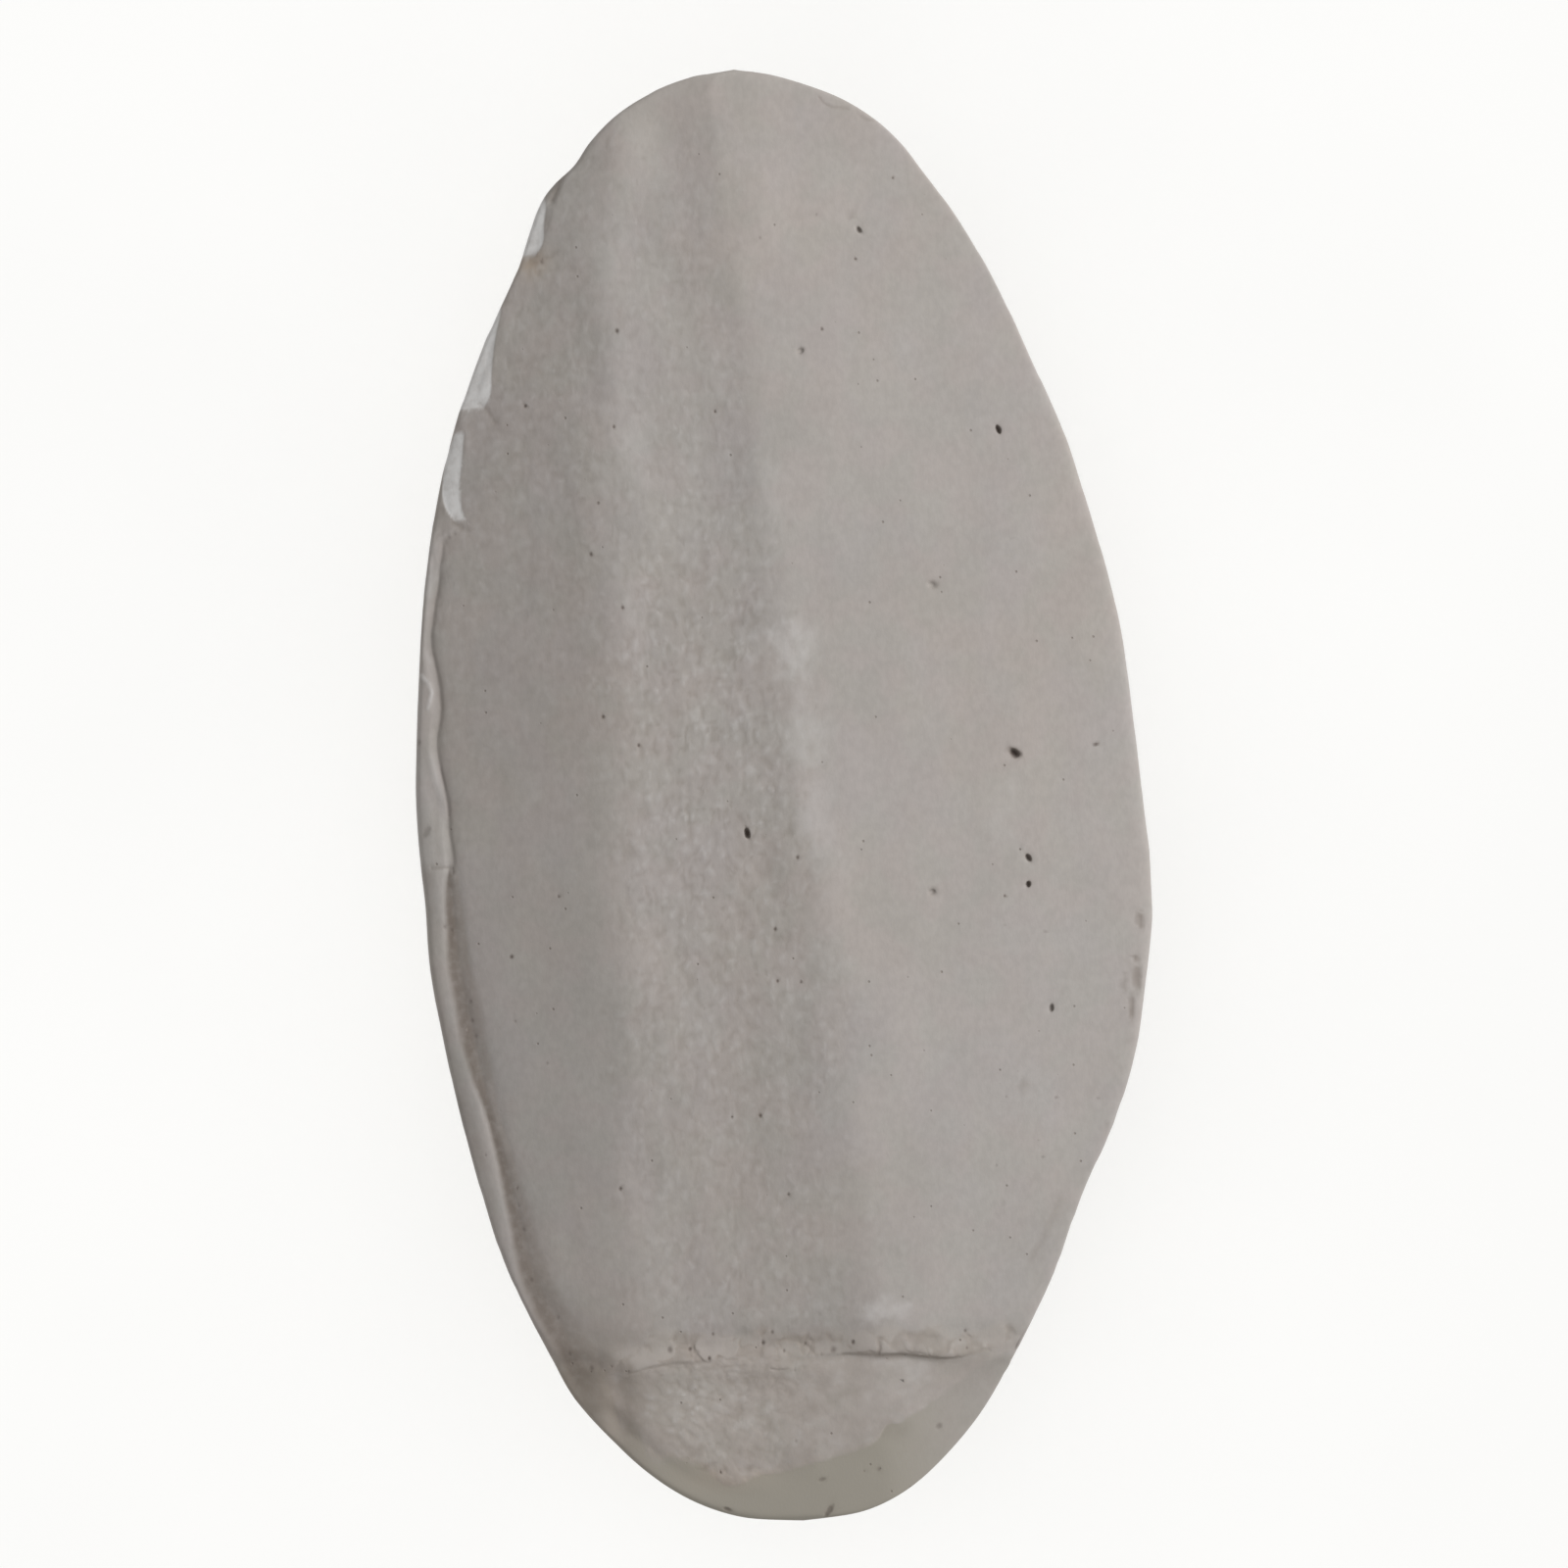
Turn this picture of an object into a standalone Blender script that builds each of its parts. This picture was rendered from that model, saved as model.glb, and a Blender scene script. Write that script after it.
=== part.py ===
"""Cuttlebone, the light inner shell of a cuttlefish, lying on its bulged underside.

X runs across the bone, Y along it towards the narrow front end, and Z up through the
smooth back. The origin is under the middle of the bone, on the surface it rests on.
The bone grew as one piece, so it is one closed solid: a round form whose rings are set
across the bone and whose points are laid on its back and on its underside.
"""

import math

import bmesh
import bpy
import numpy as np

MM = 0.001
PART_NAME = "cuttlebone"

# Outline, seen from above. Each side is two rounded arcs, one from its widest place to
# each tip, less one shallow dip where the margin is worn in.
LENGTH = 150.0 * MM
TIP_X = -1.2 * MM
LEFT_WIDTH = 36.5 * MM
LEFT_WIDEST = 1.0 * MM
LEFT_FRONT = (1.88, 2.29)
LEFT_REAR = (2.10, 2.27)
LEFT_DIP = (52.8 * MM, 12.4 * MM, 1.6 * MM)
RIGHT_WIDTH = 38.95 * MM
RIGHT_WIDEST = -8.9 * MM
RIGHT_FRONT = (1.69, 2.12)
RIGHT_REAR = (1.70, 2.40)
RIGHT_DIP = (-54.1 * MM, 20.0 * MM, 3.8 * MM)
DIP_SHARE = 0.14

# Back: two flat flanks that slope away from a broad middle band, which lies a little to
# the left and widens towards the rear, with a soft shoulder along each of its sides.
CROWN_HEIGHT = 19.0 * MM
CROWN_ARCH = 5.0 * MM
CROWN_AT = 4.0 * MM
LEFT_SHOULDER = (-16.6 * MM, 0.028)
RIGHT_SHOULDER = (2.1 * MM, -0.085)
LEFT_SHOULDER_ROUND = 2.2 * MM
RIGHT_SHOULDER_ROUND = 3.0 * MM
LEFT_SLOPE = 0.25
RIGHT_SLOPE = 0.205
BAND_HOLLOW = 0.55 * MM
BAND_HOLLOW_AT = 0.25

# Margin: a thin rounded edge, and along the left a low lip with a channel inside it. The
# channel is a thin wavy groove in front, and opens towards the rear.
RIM_THICKNESS = 1.5 * MM
RIM_REAR_THICKNESS = 2.4 * MM
EDGE_ROUND_LEFT = 0.8 * MM
EDGE_ROUND_RIGHT = 0.4 * MM
LIP_GAP = 0.75 * MM
LIP_WIDTH = 0.6 * MM
LIP_RISE = 0.14 * MM
CHANNEL_FRONT = 29.0 * MM
CHANNEL_REAR = -56.5 * MM
CHANNEL_FADE = 1.6 * MM
# Places on the channel: y, x of its middle, half width, depth.
CHANNEL_PLACES = (
    (-58.0 * MM, -22.4 * MM, 1.50 * MM, 0.15 * MM),
    (-50.0 * MM, -26.9 * MM, 1.20 * MM, 0.35 * MM),
    (-40.0 * MM, -29.3 * MM, 0.80 * MM, 0.35 * MM),
    (-31.0 * MM, -31.2 * MM, 0.60 * MM, 0.30 * MM),
    (-20.0 * MM, -33.2 * MM, 0.95 * MM, 0.40 * MM),
    (-9.0 * MM, -34.2 * MM, 0.60 * MM, 0.40 * MM),
    (-2.0 * MM, -34.3 * MM, 0.50 * MM, 0.30 * MM),
    (7.0 * MM, -35.2 * MM, 0.50 * MM, 0.30 * MM),
    (12.0 * MM, -34.6 * MM, 0.50 * MM, 0.30 * MM),
    (17.0 * MM, -35.3 * MM, 0.50 * MM, 0.30 * MM),
    (23.0 * MM, -34.3 * MM, 0.50 * MM, 0.30 * MM),
    (28.0 * MM, -33.0 * MM, 0.50 * MM, 0.20 * MM),
)

# Places along the left margin where a thin flake has come away: middle, half length.
FLAKES = ((59.4 * MM, 2.6 * MM), (45.6 * MM, 4.3 * MM), (34.4 * MM, 4.5 * MM))
FLAKE_WIDTH = 1.7 * MM
FLAKE_DEPTH = 0.25 * MM

# Ledge across the rear, where the back layer is broken off, and the tongue below it.
LEDGE_Y = -57.5 * MM
LEDGE_SKEW = -0.035
LEDGE_LEFT_DROP = 0.45 * MM
LEDGE_RIGHT_DROP = 0.85 * MM
LEDGE_RUN = 0.35 * MM
LEDGE_OVERHANG_X = 9.0 * MM
LEDGE_RIGHT_RISE = 0.35 * MM
LEDGE_HALF_STEP = 0.22 * MM
CRUMBLE_REACH = 3.6 * MM
CRUMBLE_WIDTH = 19.5 * MM
CRUMBLE_DEPTH = 0.3 * MM
CRUMBLE_PITCH = 2.6 * MM
CRUMBLE_SEED = 14
LUMP_WAVES = 7
TONGUE_TIP = (-8.0 * MM, -70.6 * MM)
TONGUE_LEFT = (12.4 * MM, 9.0 * MM, 1.7)
TONGUE_RIGHT = (27.8 * MM, 11.1 * MM, 1.3)
TONGUE_THICKNESS = 0.35 * MM
TONGUE_RUN = 0.7 * MM

# Underside: a bulge set inside a thin margin, with a shallow hollow and a raised
# horseshoe ridge towards the rear, and a worn flat at its lowest place.
BULGE_DEPTH = 12.8 * MM
BULGE_AT = 1.0 * MM
BULGE_FRONT = (71.5 * MM, 2.2, 0.75)
BULGE_REAR = (-64.0 * MM, 1.7, 1.15)
BULGE_CROSS = (2.1, 0.95)
MARGIN_SIDE = 2.8 * MM
MARGIN_REAR = 7.0 * MM
MARGIN_SHARE = 0.5
MARGIN_LINE = 0.86
REAR_HOLLOW = 1.5 * MM
REAR_HOLLOW_AT = -30.0 * MM
REAR_HOLLOW_LENGTH = 17.0 * MM
HORSESHOE_AT = 0.86
HORSESHOE_WIDTH = 0.09
HORSESHOE_RISE = 0.9 * MM
HORSESHOE_FRONT = -20.0 * MM
HORSESHOE_BEND = -40.0 * MM
GROWTH_STEP = 0.22 * MM
GROWTH_PITCH = 6.0 * MM
REST_DEPTH = 0.5 * MM

# Larger pits in the back: x, y, length, width, turn in degrees, depth.
PITS = (
    (24.1 * MM, 3.3 * MM, 1.5 * MM, 1.0 * MM, 145.0, 0.55 * MM),
    (-3.7 * MM, -3.6 * MM, 1.4 * MM, 0.7 * MM, 100.0, 0.45 * MM),
    (25.0 * MM, -7.5 * MM, 1.1 * MM, 0.7 * MM, 120.0, 0.40 * MM),
    (24.8 * MM, -10.3 * MM, 0.8 * MM, 0.7 * MM, 90.0, 0.40 * MM),
    (24.0 * MM, 36.7 * MM, 1.3 * MM, 0.6 * MM, 115.0, 0.40 * MM),
    (16.4 * MM, 20.9 * MM, 1.3 * MM, 1.0 * MM, 160.0, 0.30 * MM),
    (14.9 * MM, -10.5 * MM, 1.2 * MM, 0.9 * MM, 20.0, 0.30 * MM),
    (10.6 * MM, 57.8 * MM, 1.2 * MM, 0.8 * MM, 120.0, 0.35 * MM),
    (4.0 * MM, 45.4 * MM, 1.0 * MM, 0.8 * MM, 30.0, 0.30 * MM),
    (26.7 * MM, -23.1 * MM, 1.1 * MM, 0.6 * MM, 80.0, 0.35 * MM),
)
PIT_FLOOR = 0.55
PIT_INSET = 0.1 * MM

# How the surface is divided: rings along the bone, lines across its back and underside.
RINGS = 74
BACK_LINES = 44
UNDER_LINES = 22
RING_CROWDING = (
    (-LENGTH / 2, 3.0 * MM, 4.0),
    (-58.0 * MM, 5.0 * MM, 1.8),
    (LENGTH / 2, 3.0 * MM, 4.0),
)
BACK_CROWDING = ((-0.93, 0.075, 3.2), (-0.2, 0.32, 0.5), (0.99, 0.02, 4.0))
UNDER_CROWDING = ((-0.99, 0.03, 2.0), (-0.84, 0.05, 2.6), (0.84, 0.05, 2.6), (0.99, 0.03, 2.0))
OUTLINE_SAMPLES = 900

SHELL_COLOR = (0.40, 0.36, 0.32, 1.0)
SHELL_ROUGHNESS = 0.85


def clear_scene():
    for old in list(bpy.data.objects):
        bpy.data.objects.remove(old, do_unlink=True)


def smooth_step(value, low, high):
    """Runs softly from 0 at low to 1 at high."""
    share = np.clip((value - low) / (high - low), 0.0, 1.0)
    return share * share * (3.0 - 2.0 * share)


def soft_bump(offset, width):
    """1 at no offset, falling to nothing at about twice the width."""
    return np.exp(-((offset / width) ** 2))


def ramp(distance, rounding):
    """Nothing before zero and the distance after it, with the corner rounded."""
    return 0.5 * (distance + np.hypot(distance, rounding))


def side_reach(y, width, widest, front, rear, dip):
    """How far one side of the outline stands from the line through the tips."""
    half = LENGTH / 2
    ahead = y >= widest
    share = np.where(ahead, (y - widest) / (half - widest), (widest - y) / (half + widest))
    along = np.where(ahead, front[0], rear[0])
    across = np.where(ahead, front[1], rear[1])
    arc = width * (1.0 - np.clip(share, 0.0, 1.0) ** along) ** (1.0 / across)
    dip_at, dip_length, dip_depth = dip
    return arc - np.minimum(dip_depth * soft_bump(y - dip_at, dip_length), DIP_SHARE * arc)


def left_edge(y):
    return TIP_X - side_reach(y, LEFT_WIDTH, LEFT_WIDEST, LEFT_FRONT, LEFT_REAR, LEFT_DIP)


def right_edge(y):
    return TIP_X + side_reach(y, RIGHT_WIDTH, RIGHT_WIDEST, RIGHT_FRONT, RIGHT_REAR, RIGHT_DIP)


def edge_distance(x, y):
    """Distance from each place to the nearest part of the outline."""
    along = np.sin(np.linspace(-math.pi / 2, math.pi / 2, OUTLINE_SAMPLES)) * LENGTH / 2
    outline_x = np.concatenate([left_edge(along), right_edge(along)])
    outline_y = np.concatenate([along, along])
    gaps = np.hypot(x[:, None] - outline_x[None, :], y[:, None] - outline_y[None, :])
    return gaps.min(axis=1)


def shoulder_lines(y):
    return (
        LEFT_SHOULDER[0] + LEFT_SHOULDER[1] * y,
        RIGHT_SHOULDER[0] + RIGHT_SHOULDER[1] * y,
    )


def roof_height(x, y):
    """The back without its margin or ledge: an arch along the bone, a roof across it."""
    left, right = shoulder_lines(y)
    crown = CROWN_HEIGHT - CROWN_ARCH * ((y - CROWN_AT) / (LENGTH / 2)) ** 2
    place = np.clip((2 * x - left - right) / (right - left), -1.0, 1.0)
    hollow = (1.0 - place**2) * (1.0 + BAND_HOLLOW_AT * place)
    return (
        crown
        - LEFT_SLOPE * ramp(left - x, LEFT_SHOULDER_ROUND)
        - RIGHT_SLOPE * ramp(x - right, RIGHT_SHOULDER_ROUND)
        - BAND_HOLLOW * hollow
    )


def left_margin(x, y, distance):
    """The channel along the left edge, the low lip outside it, and the missing flakes."""
    along, middle, half, depth = np.array(CHANNEL_PLACES).T
    offset = x - np.interp(y, along, middle)
    half = np.interp(y, along, half)
    depth = np.interp(y, along, depth)
    change = LIP_RISE * soft_bump(offset + half + LIP_GAP, LIP_WIDTH)
    change = change - depth * soft_bump(offset, half)
    length = smooth_step(y, CHANNEL_REAR - CHANNEL_FADE, CHANNEL_REAR + CHANNEL_FADE)
    change = change * length * smooth_step(CHANNEL_FRONT - y, 0.0, 2 * CHANNEL_FADE)
    on_left = smooth_step(-x, 8.0 * MM, 16.0 * MM)
    for middle, half_length in FLAKES:
        inside = smooth_step(half_length - np.abs(y - middle), -0.4 * MM, 0.4 * MM)
        inside = inside * smooth_step(FLAKE_WIDTH - distance, -0.3 * MM, 0.3 * MM)
        change = change - FLAKE_DEPTH * inside
    return change * on_left


def ledge_line(x):
    return LEDGE_Y + LEDGE_SKEW * x


def tongue_line(x):
    """The rear boundary of the chalky layer that shows below the ledge."""
    tip_x, tip_y = TONGUE_TIP
    reach, rise, power = TONGUE_LEFT
    left = rise * np.clip((tip_x - x) / reach, 0.0, 1.0) ** power
    reach, rise, power = TONGUE_RIGHT
    right = rise * np.clip((x - tip_x) / reach, 0.0, 1.0) ** power
    return tip_y + left + right


def rear_ledge(x, y):
    """The step down at the ledge, the tongue below it and the smooth rim round that."""
    below = smooth_step(ledge_line(x) - y, -LEDGE_RUN, LEDGE_RUN)
    beside = smooth_step(tongue_line(x) - y, -TONGUE_RUN, TONGUE_RUN)
    left_end = TONGUE_TIP[0] - TONGUE_LEFT[0]
    beside = np.maximum(beside, smooth_step(left_end - x, -TONGUE_RUN, TONGUE_RUN))
    to_right = smooth_step(x, 0.0, LEDGE_OVERHANG_X)
    raised = LEDGE_RIGHT_RISE * to_right * soft_bump(y - ledge_line(x), 6.0 * MM) * (1.0 - below)
    drop = LEDGE_LEFT_DROP + (LEDGE_RIGHT_DROP - LEDGE_LEFT_DROP) * to_right
    return raised - drop * below - TONGUE_THICKNESS * below * beside


def lumps(x, y, pitch, seed):
    """Soft irregular lumps from 0 to 1, about this far apart: a few seeded waves added up."""
    rng = np.random.default_rng(seed)
    total = np.zeros_like(x)
    headings = rng.uniform(0.0, math.pi, LUMP_WAVES)
    phases = rng.uniform(0.0, 2 * math.pi, LUMP_WAVES)
    for heading, phase in zip(headings, phases):
        along = x * math.cos(heading) + y * math.sin(heading)
        total = total + np.sin(2 * math.pi * along / pitch + phase)
    return smooth_step(total / math.sqrt(LUMP_WAVES), -1.2, 1.2)


def crumble(x, y):
    """Lumps and small hollows in the broken band just above the ledge."""
    above = y - ledge_line(x)
    band = smooth_step(above, -0.2 * MM, 0.3 * MM) * smooth_step(CRUMBLE_REACH - above, 0.0, 1.2 * MM)
    band = band * smooth_step(CRUMBLE_WIDTH - np.abs(x), 0.0, 2.0 * MM)
    return -CRUMBLE_DEPTH * band * lumps(x, y, CRUMBLE_PITCH, CRUMBLE_SEED)


def edge_fullness(x, distance):
    """How full the section is, from 0 at the very edge to 1 where its rounding ends."""
    rounding = EDGE_ROUND_LEFT + (EDGE_ROUND_RIGHT - EDGE_ROUND_LEFT) * smooth_step(x, -5.0 * MM, 5.0 * MM)
    inset = np.clip(1.0 - distance / rounding, 0.0, 1.0)
    return np.sqrt(1.0 - inset**2)


def rim_underside(x, y):
    """The lower face of the thin margin, which is thicker behind the ledge."""
    rear = smooth_step(-y, 30.0 * MM, 60.0 * MM)
    return roof_height(x, y) - RIM_THICKNESS - (RIM_REAR_THICKNESS - RIM_THICKNESS) * rear


def back_height(x, y, distance):
    """Height of the whole back, with its rounded edge."""
    top = roof_height(x, y) + left_margin(x, y, distance) + rear_ledge(x, y) + crumble(x, y)
    middle = (top + rim_underside(x, y)) / 2
    return middle + (top - middle) * edge_fullness(x, distance)


def margin_width(y):
    """Width of the thin margin round the bulge, wider towards the rear."""
    width = MARGIN_SIDE + (MARGIN_REAR - MARGIN_SIDE) * smooth_step(-y, 10.0 * MM, 60.0 * MM)
    return np.minimum(width, MARGIN_SHARE * (right_edge(y) - left_edge(y)) / 2)


def bulge_profile(y):
    """Depth of the bulge along the bone, as a share of its greatest depth."""
    front_end, front_power, front_round = BULGE_FRONT
    rear_end, rear_power, rear_round = BULGE_REAR
    ahead = np.clip((y - BULGE_AT) / (front_end - BULGE_AT), 0.0, 1.0)
    behind = np.clip((BULGE_AT - y) / (BULGE_AT - rear_end), 0.0, 1.0)
    return (1.0 - ahead**front_power) ** front_round * (1.0 - behind**rear_power) ** rear_round


def under_height(x, y, distance, place):
    """Height of the underside. Place runs from 0 on its middle line to 1 where the bulge ends."""
    rim = rim_underside(x, y)
    top = roof_height(x, y) + rear_ledge(x, y) + left_margin(x, y, distance)
    middle = (top + rim) / 2
    rim = middle - (middle - rim) * edge_fullness(x, distance)

    left, right = left_edge(y), right_edge(y)
    share = (x - left) / np.maximum(right - left, MM)
    level = rim_underside(left, y) * (1.0 - share) + rim_underside(right, y) * share
    inner = np.clip(place, 0.0, 1.0)
    power, rounding = BULGE_CROSS
    depth = BULGE_DEPTH * bulge_profile(y) * (1.0 - inner**power) ** rounding
    hollow = REAR_HOLLOW * soft_bump(y - REAR_HOLLOW_AT, REAR_HOLLOW_LENGTH) * (1.0 - inner**2)
    behind = np.clip((HORSESHOE_BEND - y) / (HORSESHOE_BEND - BULGE_REAR[0]), 0.0, 1.0)
    horseshoe = np.hypot(inner, behind)
    ridge = HORSESHOE_RISE * smooth_step(HORSESHOE_FRONT - y, 0.0, 16.0 * MM)
    ridge = ridge * soft_bump(horseshoe - HORSESHOE_AT, HORSESHOE_WIDTH)
    body = np.minimum(level - depth + hollow - growth_steps(inner, y) - ridge, rim)
    return np.where(place < 1.0, body, rim)


def growth_steps(place, y):
    """Broad curved steps across the rear half of the underside."""
    bowed = y + 9.0 * MM * place**2
    zone = smooth_step(-y, -8.0 * MM, 4.0 * MM) * smooth_step(y, -62.0 * MM, -52.0 * MM)
    phase = np.mod(bowed / GROWTH_PITCH, 1.0)
    return GROWTH_STEP * zone * phase * (1.0 - place**2)


def crowded(low, high, count, places):
    """Values from low to high that stand closer together at the given places."""
    samples = np.linspace(low, high, 4001)
    density = np.ones_like(samples)
    for middle, width, extra in places:
        density = density + extra * soft_bump(samples - middle, width)
    total = np.concatenate([[0.0], np.cumsum((density[1:] + density[:-1]) / 2)])
    return np.interp(np.linspace(0.0, total[-1], count), total, samples)


def ring_places():
    """Where the rings cross the long axis, closer at both tips and at the ledge."""
    places = crowded(-LENGTH / 2, LENGTH / 2, RINGS + 1, RING_CROWDING)
    below = np.searchsorted(places, LEDGE_Y) - 1
    places[below] = LEDGE_Y - LEDGE_HALF_STEP
    places[below + 1] = LEDGE_Y + LEDGE_HALF_STEP
    return places


def line_places():
    """Place of each lengthwise line across the bone, -1 at the left edge and 1 at the right."""
    over = crowded(-1.0, 1.0, BACK_LINES + 1, BACK_CROWDING)
    under = crowded(-1.0, 1.0, UNDER_LINES + 1, UNDER_CROWDING)
    return over, under


def ring_and_line(bm):
    """For each point of the round form, its ring from the rear tip and its line round the bone."""
    lines = BACK_LINES + UNDER_LINES
    rings, steps = [], []
    for vert in bm.verts:
        polar = math.acos(max(-1.0, min(1.0, -vert.co.y / vert.co.length)))
        turn = math.atan2(vert.co.z, -vert.co.x) % (2 * math.pi)
        rings.append(round(polar / math.pi * RINGS))
        steps.append(round(turn / (2 * math.pi) * lines) % lines)
    return np.array(rings), np.array(steps)


def set_across(line, y, on_top):
    """Place of each point between the edges. The lines below keep to the end of the bulge."""
    half = (right_edge(y) - left_edge(y)) / 2
    inner = 1.0 - margin_width(y) / np.maximum(half, 0.1 * MM)
    outer = inner + (1.0 - inner) * (np.abs(line) - MARGIN_LINE) / (1.0 - MARGIN_LINE)
    below = np.where(np.abs(line) > MARGIN_LINE, np.sign(line) * outer, line / MARGIN_LINE * inner)
    return np.where(on_top, line, below)


def lay_points(bm):
    """Moves every point of the round form onto the bone."""
    rings, steps = ring_and_line(bm)
    over, under = line_places()
    line = np.concatenate([over[:-1], under[::-1][:-1]])[steps]
    on_top = steps < BACK_LINES
    y = ring_places()[rings]
    across = set_across(line, y, on_top)
    lean = soft_bump(y - LEDGE_Y, 5.0 * MM) * LEDGE_SKEW * (1.0 - across**4)
    y = y + lean * across * (right_edge(y) - left_edge(y)) / 2
    left, right = left_edge(y), right_edge(y)
    x = (left + right) / 2 + across * (right - left) / 2
    at_edge = (np.abs(line) > 1.0 - 1e-9) | (rings == 0) | (rings == RINGS)
    distance = np.where(at_edge, 0.0, edge_distance(x, y))
    top = back_height(x, y, distance)
    z = np.where(on_top | at_edge, top, under_height(x, y, distance, np.abs(line) / MARGIN_LINE))
    lowest = z.min() + REST_DEPTH
    z = np.maximum(z, lowest) - lowest
    for vert, place in zip(bm.verts, np.stack([x, y, z], axis=1)):
        vert.co = place


def back_face_at(bm, x, y):
    """The face of the back that lies under this place."""
    best, best_gap = None, None
    for face in bm.faces:
        centre = face.calc_center_median()
        gap = math.hypot(centre.x - x, centre.y - y)
        if face.normal.z > 0.5 and len(face.verts) == 4 and (best is None or gap < best_gap):
            best, best_gap = face, gap
    return best


def oval_corner(centre, step, length, width, turn):
    """One of the four corners of a pit, a quarter turn apart on its oval."""
    angle = math.pi / 4 + step * math.pi / 2
    along, beside = math.cos(angle) * length / 2, math.sin(angle) * width / 2
    return (
        centre.x + along * math.cos(turn) - beside * math.sin(turn),
        centre.y + along * math.sin(turn) + beside * math.cos(turn),
    )


def centre_face(face, x, y):
    """Slides a face along its own slope until this place is its middle."""
    centre = face.calc_center_median()
    slope_x = -face.normal.x / face.normal.z
    slope_y = -face.normal.y / face.normal.z
    move_x, move_y = x - centre.x, y - centre.y
    for vert in face.verts:
        vert.co.x += move_x
        vert.co.y += move_y
        vert.co.z += slope_x * move_x + slope_y * move_y
    return slope_x, slope_y


def sink_pits(bm):
    """Insets the face under each pit twice, for its rim and for its sunk floor."""
    for x, y, length, width, degrees, depth in PITS:
        face = back_face_at(bm, x, y)
        turn = math.radians(degrees)
        slope_x, slope_y = centre_face(face, x, y)
        centre = face.calc_center_median()
        first = face.verts[0].co
        start = math.atan2(first.y - centre.y, first.x - centre.x) - turn
        first_step = round((start - math.pi / 4) / (math.pi / 2))
        for scale, sunk in ((1.0, 0.0), (PIT_FLOOR, depth)):
            bmesh.ops.inset_individual(bm, faces=[face], thickness=PIT_INSET)
            for step, vert in enumerate(face.verts):
                x_at, y_at = oval_corner(centre, first_step + step, length * scale, width * scale, turn)
                rise = slope_x * (x_at - centre.x) + slope_y * (y_at - centre.y)
                vert.co = (x_at, y_at, centre.z - sunk + rise)


def shell_material():
    material = bpy.data.materials.new("chalky_shell")
    material.use_nodes = True
    shader = material.node_tree.nodes["Principled BSDF"]
    shader.inputs["Base Color"].default_value = SHELL_COLOR
    shader.inputs["Roughness"].default_value = SHELL_ROUGHNESS
    shader.inputs["Metallic"].default_value = 0.0
    return material


def centre_over_origin(bm):
    """Sets the middle of the bone's box over the origin."""
    for axis in (0, 1):
        values = [vert.co[axis] for vert in bm.verts]
        middle = (min(values) + max(values)) / 2
        for vert in bm.verts:
            vert.co[axis] -= middle


def build_cuttlebone(collection):
    bm = bmesh.new()
    bmesh.ops.create_uvsphere(bm, u_segments=BACK_LINES + UNDER_LINES, v_segments=RINGS, radius=1.0)
    for vert in bm.verts:
        vert.co = (vert.co.y, vert.co.z, vert.co.x)
    lay_points(bm)
    bmesh.ops.recalc_face_normals(bm, faces=bm.faces[:])
    sink_pits(bm)
    centre_over_origin(bm)
    mesh = bpy.data.meshes.new(PART_NAME)
    bm.to_mesh(mesh)
    bm.free()
    mesh.shade_smooth()
    mesh.set_sharp_from_angle(angle=math.radians(40.0))
    bone = bpy.data.objects.new(PART_NAME, mesh)
    bone.data.materials.append(shell_material())
    collection.objects.link(bone)
    return bone


def main():
    clear_scene()
    collection = bpy.data.collections.new(PART_NAME + "_part")
    bpy.context.scene.collection.children.link(collection)
    build_cuttlebone(collection)


main()
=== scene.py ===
"""Looks of the cuttlebone, the light inner shell of a cuttlefish, seen from above.

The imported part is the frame. Its one solid is copied, refined and given the relief and the
finish of the real bone: a pebbled middle band, a worn left margin with its groove, a broken
ledge over a chalky tongue, pits, chips and the growth lines of the underside. Sizes and
places are in millimetres on the bone, X to the right and Y towards the narrow front end.
Meshes are in metres.
"""

import logging
import math
from dataclasses import dataclass
from enum import Enum

import bpy
import numpy as np
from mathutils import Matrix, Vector


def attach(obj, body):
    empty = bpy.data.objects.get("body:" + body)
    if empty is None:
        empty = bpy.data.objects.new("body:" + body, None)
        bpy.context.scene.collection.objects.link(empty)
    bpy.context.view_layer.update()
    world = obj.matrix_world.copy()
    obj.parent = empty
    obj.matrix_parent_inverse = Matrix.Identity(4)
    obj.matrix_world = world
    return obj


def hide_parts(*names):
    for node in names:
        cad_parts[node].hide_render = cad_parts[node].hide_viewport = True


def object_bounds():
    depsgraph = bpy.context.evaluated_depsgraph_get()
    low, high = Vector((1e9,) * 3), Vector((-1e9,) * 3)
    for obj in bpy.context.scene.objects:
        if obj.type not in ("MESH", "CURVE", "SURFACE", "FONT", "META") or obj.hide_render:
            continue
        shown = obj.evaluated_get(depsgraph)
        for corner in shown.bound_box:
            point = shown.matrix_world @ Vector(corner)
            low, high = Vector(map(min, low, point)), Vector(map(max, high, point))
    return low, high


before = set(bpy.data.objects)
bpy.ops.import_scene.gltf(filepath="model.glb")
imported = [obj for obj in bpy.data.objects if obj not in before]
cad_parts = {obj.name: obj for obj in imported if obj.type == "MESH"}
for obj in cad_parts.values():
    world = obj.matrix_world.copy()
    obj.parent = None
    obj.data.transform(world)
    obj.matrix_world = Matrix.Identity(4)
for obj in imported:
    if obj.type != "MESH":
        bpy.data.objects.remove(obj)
CAD_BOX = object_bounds()

MM = 0.001
FAR = 1000.0
BONE_NODE = "cuttlebone"
PIECE_NAME = "cuttlebone_surface"

log = logging.getLogger("cuttlebone")


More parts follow.
